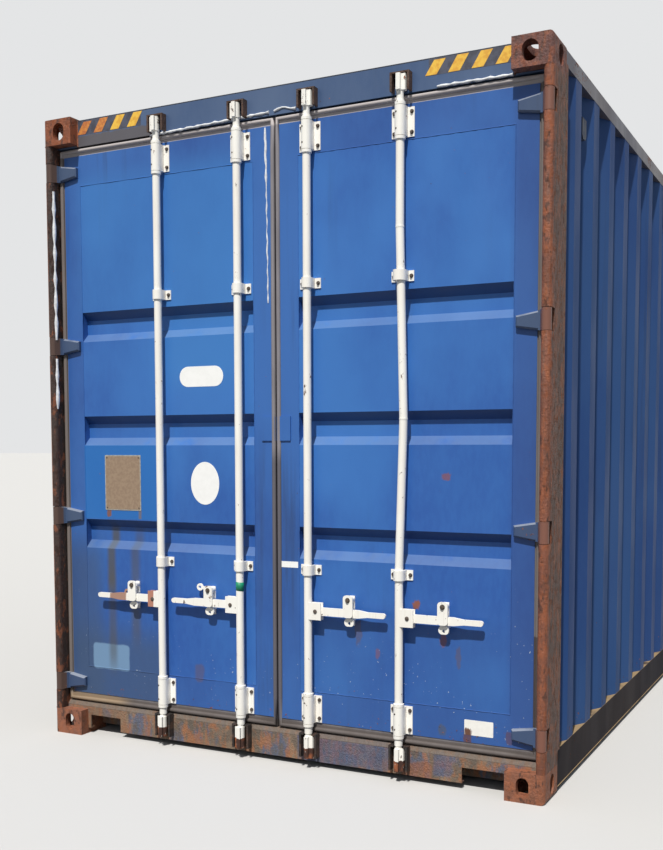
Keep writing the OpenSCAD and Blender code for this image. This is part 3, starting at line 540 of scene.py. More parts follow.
@dataclass(frozen=True)
class FloorBoards:
    """Worn plywood floor in sheets laid across the container, with a dark seam at each."""

    name: str = "floor_boards"
    sheet: float = 1.22
    seam: float = 0.006
    base: Tone = Tone(112, 84, 58)
    pale: Tone = Tone(142, 112, 80)
    worn: Tone = Tone(72, 58, 46)

    def build(self) -> bpy.types.Material:
        """Makes the material.

        Returns:
            The finished material.
        """
        g = Graph(self.name)
        grain = g.noise(0.012, 5, along=0.06)
        colour = g.mix(g.ramp(grain, 0.35, 0.65), self.base, self.pale)
        place = g.math("FRACT", g.math("DIVIDE", g.axes[Axis.Y], self.sheet), 0.0)
        colour = g.mix(g.ramp(place, 0.0, self.seam, 1.0, 0.0), colour, GRIME)
        wear = g.ramp(g.noise(0.4, 5), 0.42, 0.68)
        colour = g.mix(g.times(wear, 0.55), colour, self.worn)
        return g.surface(colour, 0.75, g.bump(grain, 0.0006, 0.5))


Finish = PaintedSteel | RustedSteel | GearPaint | PlainFinish | FloorBoards


def depth_y(depth: float) -> float:
    """Y in metres of a depth in millimetres."""
    return (DOOR_END + depth) * MM


class Piece:
    """A mesh under construction, its shapes added one by one in millimetres."""

    def __init__(self) -> None:
        """Starts an empty mesh."""
        self.mesh = bmesh.new()

    def place(self, made: dict, matrix: Matrix) -> list[bmesh.types.BMVert]:
        """Moves what an operator has just made.

        Args:
            made: Result of the operator.
            matrix: The move.

        Returns:
            The moved vertices.
        """
        bmesh.ops.transform(self.mesh, matrix=matrix, verts=made["verts"])
        return made["verts"]

    def slab(
        self, x: Range, depth: Range, z: Range, corner: float = 0.0, lean: float = 0.0
    ) -> None:
        """Adds a box on the door end.

        Args:
            x: Left and right sides.
            depth: Depths of front and back.
            z: Bottom and top.
            corner: Radius of the four edges that run along Y.
            lean: How far the top is pushed to the right against the bottom.
        """
        made = bmesh.ops.create_cube(self.mesh, size=1.0)
        middle = Vector((sum(x) / 2 * MM, depth_y(sum(depth) / 2), sum(z) / 2 * MM))
        size = Vector((x[1] - x[0], depth[1] - depth[0], z[1] - z[0])) * MM
        shear = Matrix.Identity(4)
        shear[0][2] = lean / (z[1] - z[0])
        move = Matrix.Translation(middle) @ shear @ Matrix.Diagonal(size.to_4d())
        verts = self.place(made, move)
        if corner > 0:
            edges = dict.fromkeys(edge for vert in verts for edge in vert.link_edges)
            along = [e for e in edges if abs(e.verts[0].co.y - e.verts[1].co.y) > 1e-6]
            bmesh.ops.bevel(
                self.mesh, geom=along, offset=corner * MM, segments=6, affect="EDGES",
                profile=0.5, material=-1,
            )

    def round(
        self,
        x: float,
        depth: Range,
        z: float,
        radius: float,
        sides: int,
        top: float = 1.0,
        stretch: float = 1.0,
        turn: float = 0.0,
    ) -> None:
        """Adds a disc or bolt head that faces the door end.

        Args:
            x: Middle across the container.
            depth: Depths of front and back.
            z: Middle height.
            radius: Radius, or half the width over corners.
            sides: Number of sides; 6 for a hexagon.
            top: Radius of the front against the back.
            stretch: Height against width.
            turn: Turn about the disc's axis in degrees.
        """
        made = bmesh.ops.create_cone(
            self.mesh,
            cap_ends=True,
            segments=sides,
            radius1=radius * MM,
            radius2=radius * top * MM,
            depth=abs(depth[1] - depth[0]) * MM,
        )
        middle = Vector((x * MM, depth_y(sum(depth) / 2), z * MM))
        facing = Matrix.Rotation(math.radians(90), 4, "X")
        turned = facing @ Matrix.Rotation(math.radians(turn), 4, "Z")
        tall = Matrix.Diagonal((1.0, 1.0, stretch, 1.0))
        self.place(made, Matrix.Translation(middle) @ tall @ turned)

    def bolt(self, x: float, depth: float, z: float, radius: float, turn: float) -> None:
        """Adds a hexagon bolt head on its washer, on a face at the given depth."""
        self.round(x, (depth - 2.0, depth + 0.6), z, radius * 1.25, sides=20, top=0.94)
        self.round(x, (depth - 7.5, depth - 1.8), z, radius, sides=6, top=0.9, turn=turn)

    def rivet(self, x: float, depth: float, z: float, radius: float) -> None:
        """Adds a domed rivet head.

        Args:
            x: Middle across the container.
            depth: Depth of the face that it sits on.
            z: Middle height.
            radius: Radius of the head.
        """
        made = bmesh.ops.create_uvsphere(
            self.mesh, u_segments=16, v_segments=8, radius=radius * MM
        )
        flat = Matrix.Diagonal((1.0, 0.5, 1.0, 1.0))
        self.place(made, Matrix.Translation((x * MM, depth_y(depth), z * MM)) @ flat)

    def finish(
        self, name: str, material: bpy.types.Material, body: str, slot: str, smooth: bool = False
    ) -> None:
        """Makes the object, gives it its material and body, and reports it.

        Args:
            name: Name of the new object.
            material: Finish of the piece.
            body: Body of the frame that the piece rides on.
            slot: Not used.
            smooth: Whether faces are shaded smooth.
        """
        bmesh.ops.recalc_face_normals(self.mesh, faces=self.mesh.faces)
        data = bpy.data.meshes.new(name)
        self.mesh.to_mesh(data)
        self.mesh.free()
        for polygon in data.polygons:
            polygon.use_smooth = smooth
        place_object(bpy.data.objects.new(name, data), material, body)


def place_object(
    piece: bpy.types.Object, material: bpy.types.Material, body: str
) -> None:
    """Adds an object to the scene with its material and body, and reports it.

    Args:
        piece: The object.
        material: Finish of the piece.
        body: Body of the frame that the piece rides on.
    """
    bpy.context.scene.collection.objects.link(piece)
    piece.data.materials.clear()
    piece.data.materials.append(material)
    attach(piece, body)
    LOG.info("piece %s rides on %s", piece.name, body)


def bead(
    name: str,
    runs: list[list[Point]],
    radius: float,
    material: bpy.types.Material,
    body: str,
    closed: bool = False,
    jitter: float = 0.0,
) -> None:
    """Adds a bead of weld, sealant or rubber along runs of points.

    Args:
        name: Name of the new object.
        runs: Lists of points in millimetres, as X, depth, Z.
        radius: Radius of the bead.
        material: Finish of the bead.
        body: Body that the bead rides on.
        closed: Whether each run closes on itself.
        jitter: How much the radius changes along the bead, as a part of it.
    """
    curve = bpy.data.curves.new(name, "CURVE")
    curve.dimensions = "3D"
    curve.bevel_depth = radius * MM
    curve.bevel_resolution = 2
    curve.use_fill_caps = True
    for run in runs:
        spline = curve.splines.new("POLY")
        spline.points.add(len(run) - 1)
        spline.use_cyclic_u = closed
        for number, (point, (x, depth, z)) in enumerate(zip(spline.points, run)):
            point.co = (x * MM, depth_y(depth), z * MM, 1.0)
            point.radius = 1.0 + jitter * math.sin(number * 2.3 + x * 0.7)
    holder = bpy.data.objects.new(name, curve)
    bpy.context.scene.collection.objects.link(holder)
    graph = bpy.context.evaluated_depsgraph_get()
    data = bpy.data.meshes.new_from_object(holder.evaluated_get(graph))
    bpy.data.objects.remove(holder)
    for polygon in data.polygons:
        polygon.use_smooth = True
    place_object(bpy.data.objects.new(name, data), material, body)


def steps(start: Point, end: Point, pitch: float, wave: float = 0.0) -> list[Point]:
    """Points from start to end, waved a little across the run.

    Args:
        start: First point.
        end: Last point.
        pitch: Rough distance between points.
        wave: Greatest swing out of the straight line.

    Returns:
        The points, start and end among them.
    """
    count = max(2, round(math.dist(start, end) / pitch))
    upright = abs(end[2] - start[2]) > abs(end[0] - start[0])
    points = []
    for number in range(count + 1):
        part = number / count
        place = [a + (b - a) * part for a, b in zip(start, end)]
        swing = wave * math.sin(number * 1.7 + start[0]) * math.sin(part * math.pi)
        place[0 if upright else 2] += swing
        points.append((place[0], place[1], place[2]))
    return points


def node_material(material: bpy.types.Material, *nodes: str) -> None:
    """Gives CAD nodes their finish.

    Args:
        material: The finish.
        nodes: Names of the nodes.
    """
    for name in nodes:
        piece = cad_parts[name]
        if not piece.material_slots:
            piece.data.materials.append(material)
        for holder in piece.material_slots:
            holder.material = material


@dataclass
class Finishes:
    """All finishes of the container, built once."""

    blue: Tone = Tone(46, 90, 164)
    blue_faded: Tone = Tone(62, 118, 190)
    frame_blue: Tone = Tone(46, 84, 152)
    frame_faded: Tone = Tone(60, 108, 178)
    # The walls' blues are darker than the doors': partly weathered paint, partly painted shade of
    # walls that stand in shade.
    wall_blue_and_shade: Tone = Tone(42, 74, 130)
    wall_faded_and_shade: Tone = Tone(52, 86, 138)
    sun_bleached: Tone = Tone(64, 128, 196)
    smear: Tone = Tone(80, 78, 68)
    spot: Tone = Tone(142, 84, 50)
    faint: Tone = Tone(100, 84, 76)
    brown: Tone = Tone(100, 66, 52)
    dull: Tone = Tone(62, 82, 112)
    cool: Tone = Tone(76, 90, 124)
    built: dict[str, bpy.types.Material] = field(default_factory=dict)

    def label_rust(self) -> Stain:
        """Rust that runs over a corner of the right leaf's white label."""
        return Stain(self.brown, (880, 884), (170, 238), 26, 1, 0.4)

    def left_stains(self) -> tuple[Stain, ...]:
        """Bleached and dull places, the pale patch, drips and rust of the left leaf.

        Returns:
            The stains, the lowest first.
        """
        return (
            Stain(self.sun_bleached, (-540, -230), (1750, 2560), 160, 0.5, 0),
            Stain(self.sun_bleached, (-1000, -700), (2060, 2560), 140, 0.4, 0),
            Stain(Tone(38, 110, 184), (-1053, -640), (1050, 1380), 16, 0.75, 0.1),
            Stain(self.dull, (-1150, -1020), (200, 800), 110, 0.6, 0, soft_up=240),
            Stain(self.dull, (-1100, -660), (190, 400), 110, 0.72, 0, soft_up=220),
            Stain(Tone(124, 158, 192), (-1010, -830), (338, 426), 34, 0.8, 0.16),
            Stain(self.smear, (-918, -900), (760, 960), 26, 0.8, 0, soft_up=110),
            Stain(self.smear, (-914, -900), (420, 700), 30, 0.55, 0, soft_up=160),
            Stain(self.smear, (-776, -762), (560, 900), 34, 0.55, 0, soft_up=170),
            Stain(Tone(128, 84, 62), (-922, -914), (1060, 1082), 16, 0.9, 0.4),
            Stain(Tone(116, 104, 98), (-740, -736), (1050, 1082), 12, 0.75, 0.4),
            Stain(Tone(96, 76, 72), (-418, -412), (330, 370), 44, 0.45, 0.4),
        )

    def right_stains(self) -> tuple[Stain, ...]:
        """Rust spots and dull places of the right leaf.

        Returns:
            The stains, the lowest first.
        """
        return (
            Stain(self.spot, (655, 657), (730, 740), 26, 0.95, 0.55),
            Stain(self.spot, (774, 776), (590, 606), 22, 0.7, 0.5, soft_up=34),
            Stain(self.faint, (839, 841), (510, 550), 18, 0.6, 0.5, soft_up=40),
            Stain(self.spot, (482, 484), (512, 524), 18, 0.55, 0.5, soft_up=26),
            Stain(self.faint, (390, 394), (580, 620), 26, 0.6, 0.5, soft_up=60),
            Stain(Tone(132, 80, 72), (776, 790), (1256, 1260), 24, 0.7, 0.55),
            self.label_rust(),
            Stain(Tone(84, 88, 84), (768, 774), (220, 240), 26, 0.7, 0.4),
            Stain(self.brown, (1054, 1058), (215, 245), 22, 0.8, 0.4),
            Stain(Tone(52, 80, 138), (200, 1200), (160, 560), 260, 0.3, 0),
            Stain(Tone(52, 74, 128), (1080, 1200), (160, 2700), 50, 0.35, 0),
        )

    def doors(self) -> tuple[Finish, ...]:
        """Paint of the panels, and of the stiles and rails round them.

        Returns:
            The finishes.
        """
        # Panels: grey dust tint on faces that face up, and painted shade on faces that face down,
        # such as the grooves' upper slopes.
        panel = {
            "foot": (150, 420), "flecks": (420, 800), "chips": 0, "dents": 0.6, "streaks": 0.25,
            "dust_and_highlight_on_top": 0.5, "dust_and_highlight_tone": Tone(112, 128, 146), "shine": 0.35, "under": 0.6,
        }
        border = {
            "foot": (150, 330), "flecks": (420, 900), "chips": 0.1, "dents": 0.4, "streaks": 0.4,
            "shine": 0.35,
        }
        paints = []
        for part, tones, wear in (
            ("panel", (self.blue, self.blue_faded), panel),
            ("frame", (self.frame_blue, self.frame_faded), border),
        ):
            for side, stains in (("left", self.left_stains()), ("right", self.right_stains())):
                name = f"door_{part}_paint_{side}"
                paints.append(PaintedSteel(name, *tones, stains=stains, **wear))
        return tuple(paints)

    def ends(self) -> tuple[Finish, ...]:
        """Finishes of header, sill, posts, castings and keepers.

        Returns:
            The finishes.
        """
        return (
            PaintedSteel(
                "header_paint", Tone(62, 86, 124), Tone(82, 102, 134), 0.5, 0.35, dents=0.3,
                stains=(
                    Stain(Tone(92, 84, 80), (-1060, -620), (2771, 2806), 24, 0.8, 0.4),
                    # Painted shadow: a near black line along the header's top edge.
                    Stain(Tone(26, 28, 36), (-1060, 1060), (2886, 2900), 2, 0.85, 0),
                ),
            ),
            RustedSteel(
                "sill_paint", Tone(86, 100, 126), 0.4, 0.15, 0.4,
                (
                    Stain(Tone(128, 102, 82), (-1060, -880), (20, 128), 90, 0.5, 0.4),
                    Stain(self.cool, (160, 520), (60, 126), 80, 0.6, 0.5),
                    Stain(self.cool, (760, 800), (60, 120), 40, 0.6, 0.5),
                    Stain(Tone(146, 96, 72), (620, 700), (20, 60), 50, 0.7, 0.5),
                    Stain(Tone(104, 92, 82), (-1180, 1180), (131, 170), 3, 0.85, 0),
                ),
                Tone(100, 90, 80), Tone(148, 124, 102), Tone(162, 108, 74), pocks=0.25,
            ),
            RustedSteel(
                "post_rust", Tone(112, 96, 88), 0.3, 0.6, 0.1,
                (
                    Stain(
                        Tone(156, 92, 66), (-6096, -6072), (118, 2778), 12, 0.4, 0.8, Axis.Y
                    ),
                    Stain(Tone(78, 62, 54), (-6040, -5880), (118, 2778), 16, 0.5, 0.3, Axis.Y),
                    # Painted shade: near black on the inner side of the left post, next to the
                    # leaf.
                    Stain(Tone(26, 21, 19), (-1204, -1150), (118, 2778), 5, 0.9, 0),
                ),
                pocks=0.8,
            ),
            RustedSteel(
                "casting_rust", Tone(104, 72, 64), 0.3, 0.06, 0.9,
                (
                    Stain(Tone(168, 108, 80), (-1219, 1219), (0, 118), 40, 0.5, 0.6),
                    Stain(Tone(140, 74, 40), (-1219, -1057), (2778, 2896), 40, 0.7, 0.5),
                    Stain(Tone(116, 76, 72), (1057, 1219), (2778, 2896), 4, 0.5, 0.5),
                ),
                pocks=0.8,
            ),
            RustedSteel(
                "keeper_rust", Tone(26, 24, 24), 1, 0.2, 0.8,
                (Stain(Tone(84, 60, 48), (-700, 700), (2740, 2896), 30, 0.7, 0.6),),
                Tone(28, 25, 24), Tone(58, 44, 38), Tone(88, 64, 52),
            ),
        )

    def shell(self) -> tuple[Finish, ...]:
        """Finishes of walls, roof, rails, vents, floor and underside.

        Returns:
            The finishes.
        """
        return (
            # Wall paint, darkened in part as painted shade.
            PaintedSteel(
                "wall_paint", self.wall_blue_and_shade, self.wall_faded_and_shade, 0.4, 0.1, (150, 330), 0.25, 0.55,
                shine=0.2,
            ),
            PaintedSteel(
                "roof_paint", Tone(60, 84, 126), Tone(98, 112, 134), 0.3, 0.5, dust_and_highlight_on_top=0.3
            ),
            PaintedSteel(
                "top_rail_paint", Tone(84, 84, 98), Tone(104, 96, 98), 0.4, 1, dents=0.2
            ),
            PaintedSteel(
                "bottom_rail_paint", Tone(50, 48, 54), Tone(66, 61, 62), 0.5, 0.6, None, 0.3,
                0.75, dust_and_highlight_on_top=1, shine=0.1,
            ),
            PlainFinish(
                "tar_coat", Tone(34, 33, 32), Tone(62, 52, 44), 0.05, rough=0.8, depth=0.001
            ),
            PlainFinish("vent_shade", Tone(34, 44, 60), Tone(48, 60, 82), 0.02),
            FloorBoards(),
        )

    def gear(self) -> tuple[Finish, ...]:
        """Finishes of hinge blades, lock gear, bolts and seals.

        Returns:
            The finishes.
        """
        # Rust of the hinge knuckles; the left ones are darker as painted shade, for they lie in
        # the left post's shade.
        right, left = Tone(124, 82, 68), Tone(76, 56, 48)
        knuckles = (
            Stain(right, (1173, 1230), (0, 2896), 3, 1, 0),
            Stain(left, (-1230, -1173), (0, 2896), 3, 1, 0),
        )
        return (
            # Blade paint: the light tint on faces that face up is partly worn paint, partly a
            # painted highlight of the blades' lit top bevels.
            PaintedSteel(
                "blade_paint", Tone(52, 72, 108), Tone(66, 84, 112), 0.5, 0.6, None, 0.1,
                dust_and_highlight_on_top=0.9, dust_and_highlight_tone=Tone(150, 156, 168), stains=knuckles,
            ),
            GearPaint(),
            GearPaint(
                "gear_paint_rusty", worn=0.35,
                stains=(
                    Stain(Tone(172, 100, 70), (-664, -634), (644, 722), 7, 0.9, 0.2),
                    Stain(Tone(150, 94, 66), (-870, -810), (640, 720), 30, 0.85, 0.5),
                ),
            ),
            PlainFinish("band_green", Tone(16, 146, 104), Tone(12, 124, 90), 0.02, rough=0.5),
            PlainFinish("bolt_steel", Tone(96, 84, 74), Tone(62, 52, 46), 0.006, rough=0.65),
            PlainFinish(
                "seal_rubber", Tone(144, 140, 144), Tone(122, 118, 122), 0.06, 0.15, 0.75,
                0.0008, 0.2,
                (
                    Stain(Tone(86, 84, 92), (-40, 40), (160, 1300), 90, 0.85, 0),
                    # Painted light: the seal under the header is lightened against the shade that
                    # the header casts on it.
                    Stain(Tone(198, 190, 188), (-1180, 1180), (2738, 2800), 10, 0.8, 0),
                    # Bottom seal: dirty grey-brown rubber, also darkened as painted shade against
                    # the key light on it.
                    Stain(Tone(88, 80, 76), (-1180, 1180), (140, 180), 14, 0.92, 0),
                    # Painted highlight on the lit left end of the bottom seal, in a tan that is
                    # also its dirt.
                    Stain(Tone(150, 128, 102), (-1180, -900), (140, 180), 120, 0.8, 0),
                    Stain(Tone(104, 94, 86), (1146, 1190), (190, 2730), 8, 0.75, 0),
                    Stain(Tone(110, 98, 88), (-1190, -1146), (190, 2730), 8, 0.7, 0),
                    Stain(Tone(58, 46, 42), (1146, 1190), (230, 640), 8, 0.85, 0),
                ),
            ),
        )

    def marks(self) -> tuple[Finish, ...]:
        """Finishes of sealant, stripes, plates and labels.

        Returns:
            The finishes.
        """
        label = {"rough": 0.45, "depth": 0.0002}
        return (
            PlainFinish("sealant", Tone(240, 242, 244), Tone(214, 216, 220), 0.02, rough=0.5),
            PlainFinish("hazard_yellow", Tone(244, 196, 76), Tone(224, 166, 58), 0.02, rough=0.55),
            PlainFinish("hazard_worn", Tone(214, 140, 66), Tone(184, 108, 60), 0.012),
            PlainFinish("hazard_dark", Tone(60, 62, 74), Tone(78, 82, 98)),
            PlainFinish("label_white", Tone(252, 252, 250), Tone(248, 248, 246), **label),
            PlainFinish(
                "label_stained", Tone(250, 248, 242), Tone(244, 242, 236),
                stains=(self.label_rust(),), **label,
            ),
            PlainFinish(
                "plate_edge", Tone(176, 176, 170), Tone(150, 146, 138), 0.01, rough=0.5,
                depth=0.0003,
            ),
            PlainFinish(
                "plate_brown", Tone(156, 134, 112), Tone(144, 122, 102), 0.012, depth=0.0003
            ),
        )

    def make(self) -> None:
        """Builds every material."""
        for group in (self.doors(), self.ends(), self.shell(), self.gear(), self.marks()):
            for finish in group:
                self.built[finish.name] = finish.build()

    def __getitem__(self, name: str) -> bpy.types.Material:
        """Material of that name."""
        return self.built[name]


@dataclass
class Frame:
    """Corner castings, posts, rails, header, sill, walls, roof and floor."""

    finishes: Finishes
    face: float = 50.0
    header_low: float = 2771.0
    half_width: float = 1219.0
    casting_width: float = 162.0
    casting_ends: Range = (118.0, 2778.0)
    post_face: Range = (1182.0, 1216.0)
    band: Range = (2822.0, 2886.0)
    band_width: float = 365.0
    stripe_start: float = 18.0
    stripe_pitch: float = 96.0
    stripe_width: float = 48.0
    stripe_lean: float = 38.0

    def dress_nodes(self) -> None:
        """Gives the CAD nodes of the frame their finishes."""
        looks = {
            "casting_rust": ("corner_castings_door_end", "corner_castings_blind_end"),
            "post_rust": ("door_end_posts", "hinge_pins"),
            "keeper_rust": ("cam_keepers",),
            "header_paint": ("door_header",),
            "sill_paint": ("door_sill",),
            "wall_paint": (
                "side_wall_left", "side_wall_right", "blind_end_wall", "blind_end_posts",
            ),
            "top_rail_paint": ("top_side_rails", "blind_end_header"),
            "bottom_rail_paint": ("bottom_side_rails", "blind_end_sill"),
            "roof_paint": ("roof_panel",),
            "floor_boards": ("floor",),
            "tar_coat": ("cross_members", "gooseneck_tunnel"),
            "vent_shade": ("side_vents",),
        }
        for finish, nodes in looks.items():
            node_material(self.finishes[finish], *nodes)

    def add(self, piece: Piece, name: str, finish: str) -> None:
        """Finishes a flat mark on the header."""
        piece.finish(name, self.finishes[finish], Body.FRAME.value, "body_paint")

    def hazard_stripes(self) -> None:
        """Adds the striped bands near both ends of the header; two stripes have faded."""
        worn, yellow = "hazard_worn", "hazard_yellow"
        low, high = self.band
        for side, left, bare, tones in (
            ("left", -1057.0, 0.0, (worn, worn, yellow, yellow)),
            ("right", 692.0, 14.0, (yellow,) * 4),
        ):
            back = Piece()
            ends = (left + bare, left + self.band_width)
            back.slab(ends, (self.face - 0.5, self.face + 0.5), self.band)
            self.add(back, f"hazard_back_{side}", "hazard_dark")
            for number, tone in enumerate(tones):
                stripe = Piece()
                start = left + self.stripe_start + number * self.stripe_pitch
                stripe.slab(
                    (start, start + self.stripe_width),
                    (self.face - 1.0, self.face),
                    (low + 2.0, high - (2.0 if number else 6.0)),
                    lean=self.stripe_lean,
                )
                self.add(stripe, f"hazard_{side}_{number}", tone)

    def sealant(self) -> None:
        """Adds the white sealant left on the header and the left post."""
        d = self.face - 1.0
        curl = ((5, 2786), (24, 2792), (44, 2796), (60, 2794), (84, 2786), (111, 2783))
        header = [
            steps((-640, d, 2769), (-20, d, 2785), 18, 1.5),
            [(x, d, z) for x, z in curl],
            steps((742, d, 2777), (1050, d, 2775), 18, 1.5),
        ]
        post = [
            steps((-1180, 17, 2573), (-1179, 18, 1884), 40, 1),
            steps((-1180, 18, 1796), (-1180, 18, 1560), 40, 1),
        ]
        white, body = self.finishes["sealant"], Body.FRAME.value
        bead("header_sealant", header, 5.5, white, body, jitter=0.35)
        bead("post_sealant", post, 7.5, white, body, jitter=0.4)

    def welds(self) -> None:
        """Adds weld beads where castings meet posts and header."""
        inner = self.half_width - self.casting_width
        near, far = self.post_face
        runs = []
        for side in (-1.0, 1.0):
            for z in self.casting_ends:
                runs.append(steps((side * near, 8.0, z), (side * far, 8.0, z), 6.0, 0.6))
            foot = (side * inner, self.face, self.header_low)
            runs.append(steps(foot, (side * inner, self.face, 2888.0), 6.0, 0.6))
        rust = self.finishes["post_rust"]
        bead("casting_welds", runs, 3.5, rust, Body.FRAME.value, jitter=0.25)

    def build(self) -> None:
        """Dresses the frame and adds its pieces."""
        self.dress_nodes()
        self.hazard_stripes()
        self.sealant()
        self.welds()


@dataclass
class Leaf:
    """One door leaf with its panel, seal, hinges, brackets and marks; side is -1 or 1.

    Ranges across are distances from the container's middle.
    """

    finishes: Finishes
    side: int
    face: float = 62.0
    bars: Range = (171.0, 594.0)
    bearings: Range = (255.0, 2661.0)
    guides: Range = (856.0, 2060.0)
    flange: float = 57.0
    bolt_across: float = 38.0
    bolt_up: float = 40.0
    bearing_bolt: float = 6.8
    guide_bolt: float = 7.0
    rivet_left: float = 9.0
    rivet_up: float = 32.0
    rivet_depth: float = 7.2
    rivet_radius: float = 3.6
    lip: Range = (13.0, 1166.0)
    lip_heights: Range = (164.0, 2757.0)
    lip_radius: float = 10.0
    panel: Range = (111.0, 1058.0)
    panel_heights: Range = (326.0, 2595.0)
    weld_radius: float = 1.8

    @property
    def label(self) -> str:
        """Name of the side."""
        return "left" if self.side < 0 else "right"

    @property
    def body(self) -> str:
        """Body that the leaf's pieces ride on."""
        return (Body.DOOR_LEFT if self.side < 0 else Body.DOOR_RIGHT).value

    def dress_nodes(self) -> None:
        """Gives the CAD nodes of the leaf their finishes."""
        side = self.label
        for finish, nodes in {
            f"door_frame_paint_{side}": (f"door_frame_{side}",),
            f"door_panel_paint_{side}": (f"door_panel_{side}",),
            "seal_rubber": (f"door_gasket_{side}",),
            "blade_paint": (f"hinge_blades_{side}",),
            "gear_paint": (f"bar_brackets_{side}", f"handle_retainers_{side}"),
        }.items():
            node_material(self.finishes[finish], *nodes)

    def bolts(self) -> None:
        """Adds the bolt heads of the bearings and guides, and the bearings' small rivets."""
        piece = Piece()
        for bar in self.bars:
            middle = self.side * bar
            sides = (middle - self.bolt_across, middle + self.bolt_across)
            for z in self.bearings:
                for x in sides:
                    for up in (-self.bolt_up, self.bolt_up):
                        piece.bolt(x, self.flange, z + up, self.bearing_bolt, 11.0 * up)
                for up in (-self.rivet_up, self.rivet_up):
                    left = middle - self.rivet_left
                    piece.rivet(left, self.rivet_depth, z + up, self.rivet_radius)
            for z in self.guides:
                for x in sides:
                    piece.bolt(x, self.flange, z, self.guide_bolt, x - middle)
        steel = self.finishes["bolt_steel"]
        piece.finish(f"bracket_bolts_{self.label}", steel, self.body, "gear_paint")

    def seal_lip(self) -> None:
        """Adds the bulged outer lip of the leaf's seal."""
        near, far = (self.side * x for x in self.lip)
        low, high = self.lip_heights
        depth = self.face + 1.0
        corners = [(x, depth, z) for x, z in ((near, low), (far, low), (far, high), (near, high))]
        run = []
        for start, end in zip(corners, corners[1:] + corners[:1]):
            run += steps(start, end, 120.0)[:-1]
        rubber, slot = self.finishes["seal_rubber"], "seal_rubber"
        name = f"seal_lip_{self.label}"
        bead(name, [run], self.lip_radius, rubber, self.body, closed=True)

    def panel_weld(self) -> None:
        """Adds the weld seam between the panel and its frame."""
        near, far = (self.side * x for x in self.panel)
        low, high = self.panel_heights
        ends = (
            ((near, low), (near, high)),
            ((far, low), (far, high)),
            ((near, low), (far, low)),
            ((near, high), (far, high)),
        )
        runs = [
            steps((x, self.face, z), (x_end, self.face, z_end), 20.0, 0.5)
            for (x, z), (x_end, z_end) in ends
        ]
        paint = self.finishes[f"door_frame_paint_{self.label}"]
        name = f"panel_weld_{self.label}"
        bead(name, runs, self.weld_radius, paint, self.body, jitter=0.3)

    def plate(
        self, name: str, finish: str, x: Range, z: Range, corner: float = 0.0, proud: float = 0.6
    ) -> None:
        """Adds a thin plate or label on the leaf's face.

        Args:
            name: Name of the new object.
            finish: Name of its finish.
            x: Left and right sides.
            z: Bottom and top.
            corner: Radius of the corners.
            proud: How far it stands out from the face.
        """
        piece = Piece()
        piece.slab(x, (self.face - proud, self.face + 0.4), z, corner)
        piece.finish(name, self.finishes[finish], self.body, "body_paint")

    def left_marks(self) -> None:
        """Adds the oval, the pill, the data plate and the sealant of the left leaf."""
        oval = Piece()
        depths = (self.face - 0.6, self.face + 0.4)
        oval.round(-373.0, depths, 1216.0, 76.0, sides=40, stretch=1.26)
        oval.finish("bare_oval", self.finishes["label_white"], self.body, "body_paint")
        self.plate("bare_pill_label", "label_white", (-504, -271), (1647, 1737), 44)
        self.plate("data_plate_rim", "plate_edge", (-938, -730), (1083, 1341), 4, 1.6)
        self.plate("bare_data_plate", "plate_brown", (-933, -735), (1088, 1336), 3, 2)
        rivets = Piece()
        for x in (-926.0, -742.0):
            for z in (1095.0, 1329.0):
                rivets.rivet(x, self.face - 2.0, z, 4.0)
        steel = self.finishes["bolt_steel"]
        rivets.finish("data_plate_rivets", steel, self.body, "gear_paint", smooth=True)
        for name, ends, radius, jitter in (
            ("leaf_sealant_top", ((-48, 2728), (-44, 2500)), 5, 0.3),
            ("leaf_sealant", ((-44, 2512), (-38, 1993)), 2.8, 0.45),
        ):
            start, end = ((x, self.face, z) for x, z in ends)
            white = self.finishes["sealant"]
            bead(name, [steps(start, end, 22, 2)], radius, white, self.body, jitter=jitter)

    def right_marks(self) -> None:
        """Adds the white tab and the white label of the right leaf."""
        self.plate("bare_white_tab", "label_white", (20, 104), (859, 885))
        self.plate("bare_white_label", "label_stained", (868, 990), (224, 286), 3)

    def build(self) -> None:
        """Dresses the leaf and adds its pieces."""
        self.dress_nodes()
        self.bolts()
        self.seal_lip()
        self.panel_weld()
        if self.side < 0:
            self.left_marks()
        else:
            self.right_marks()


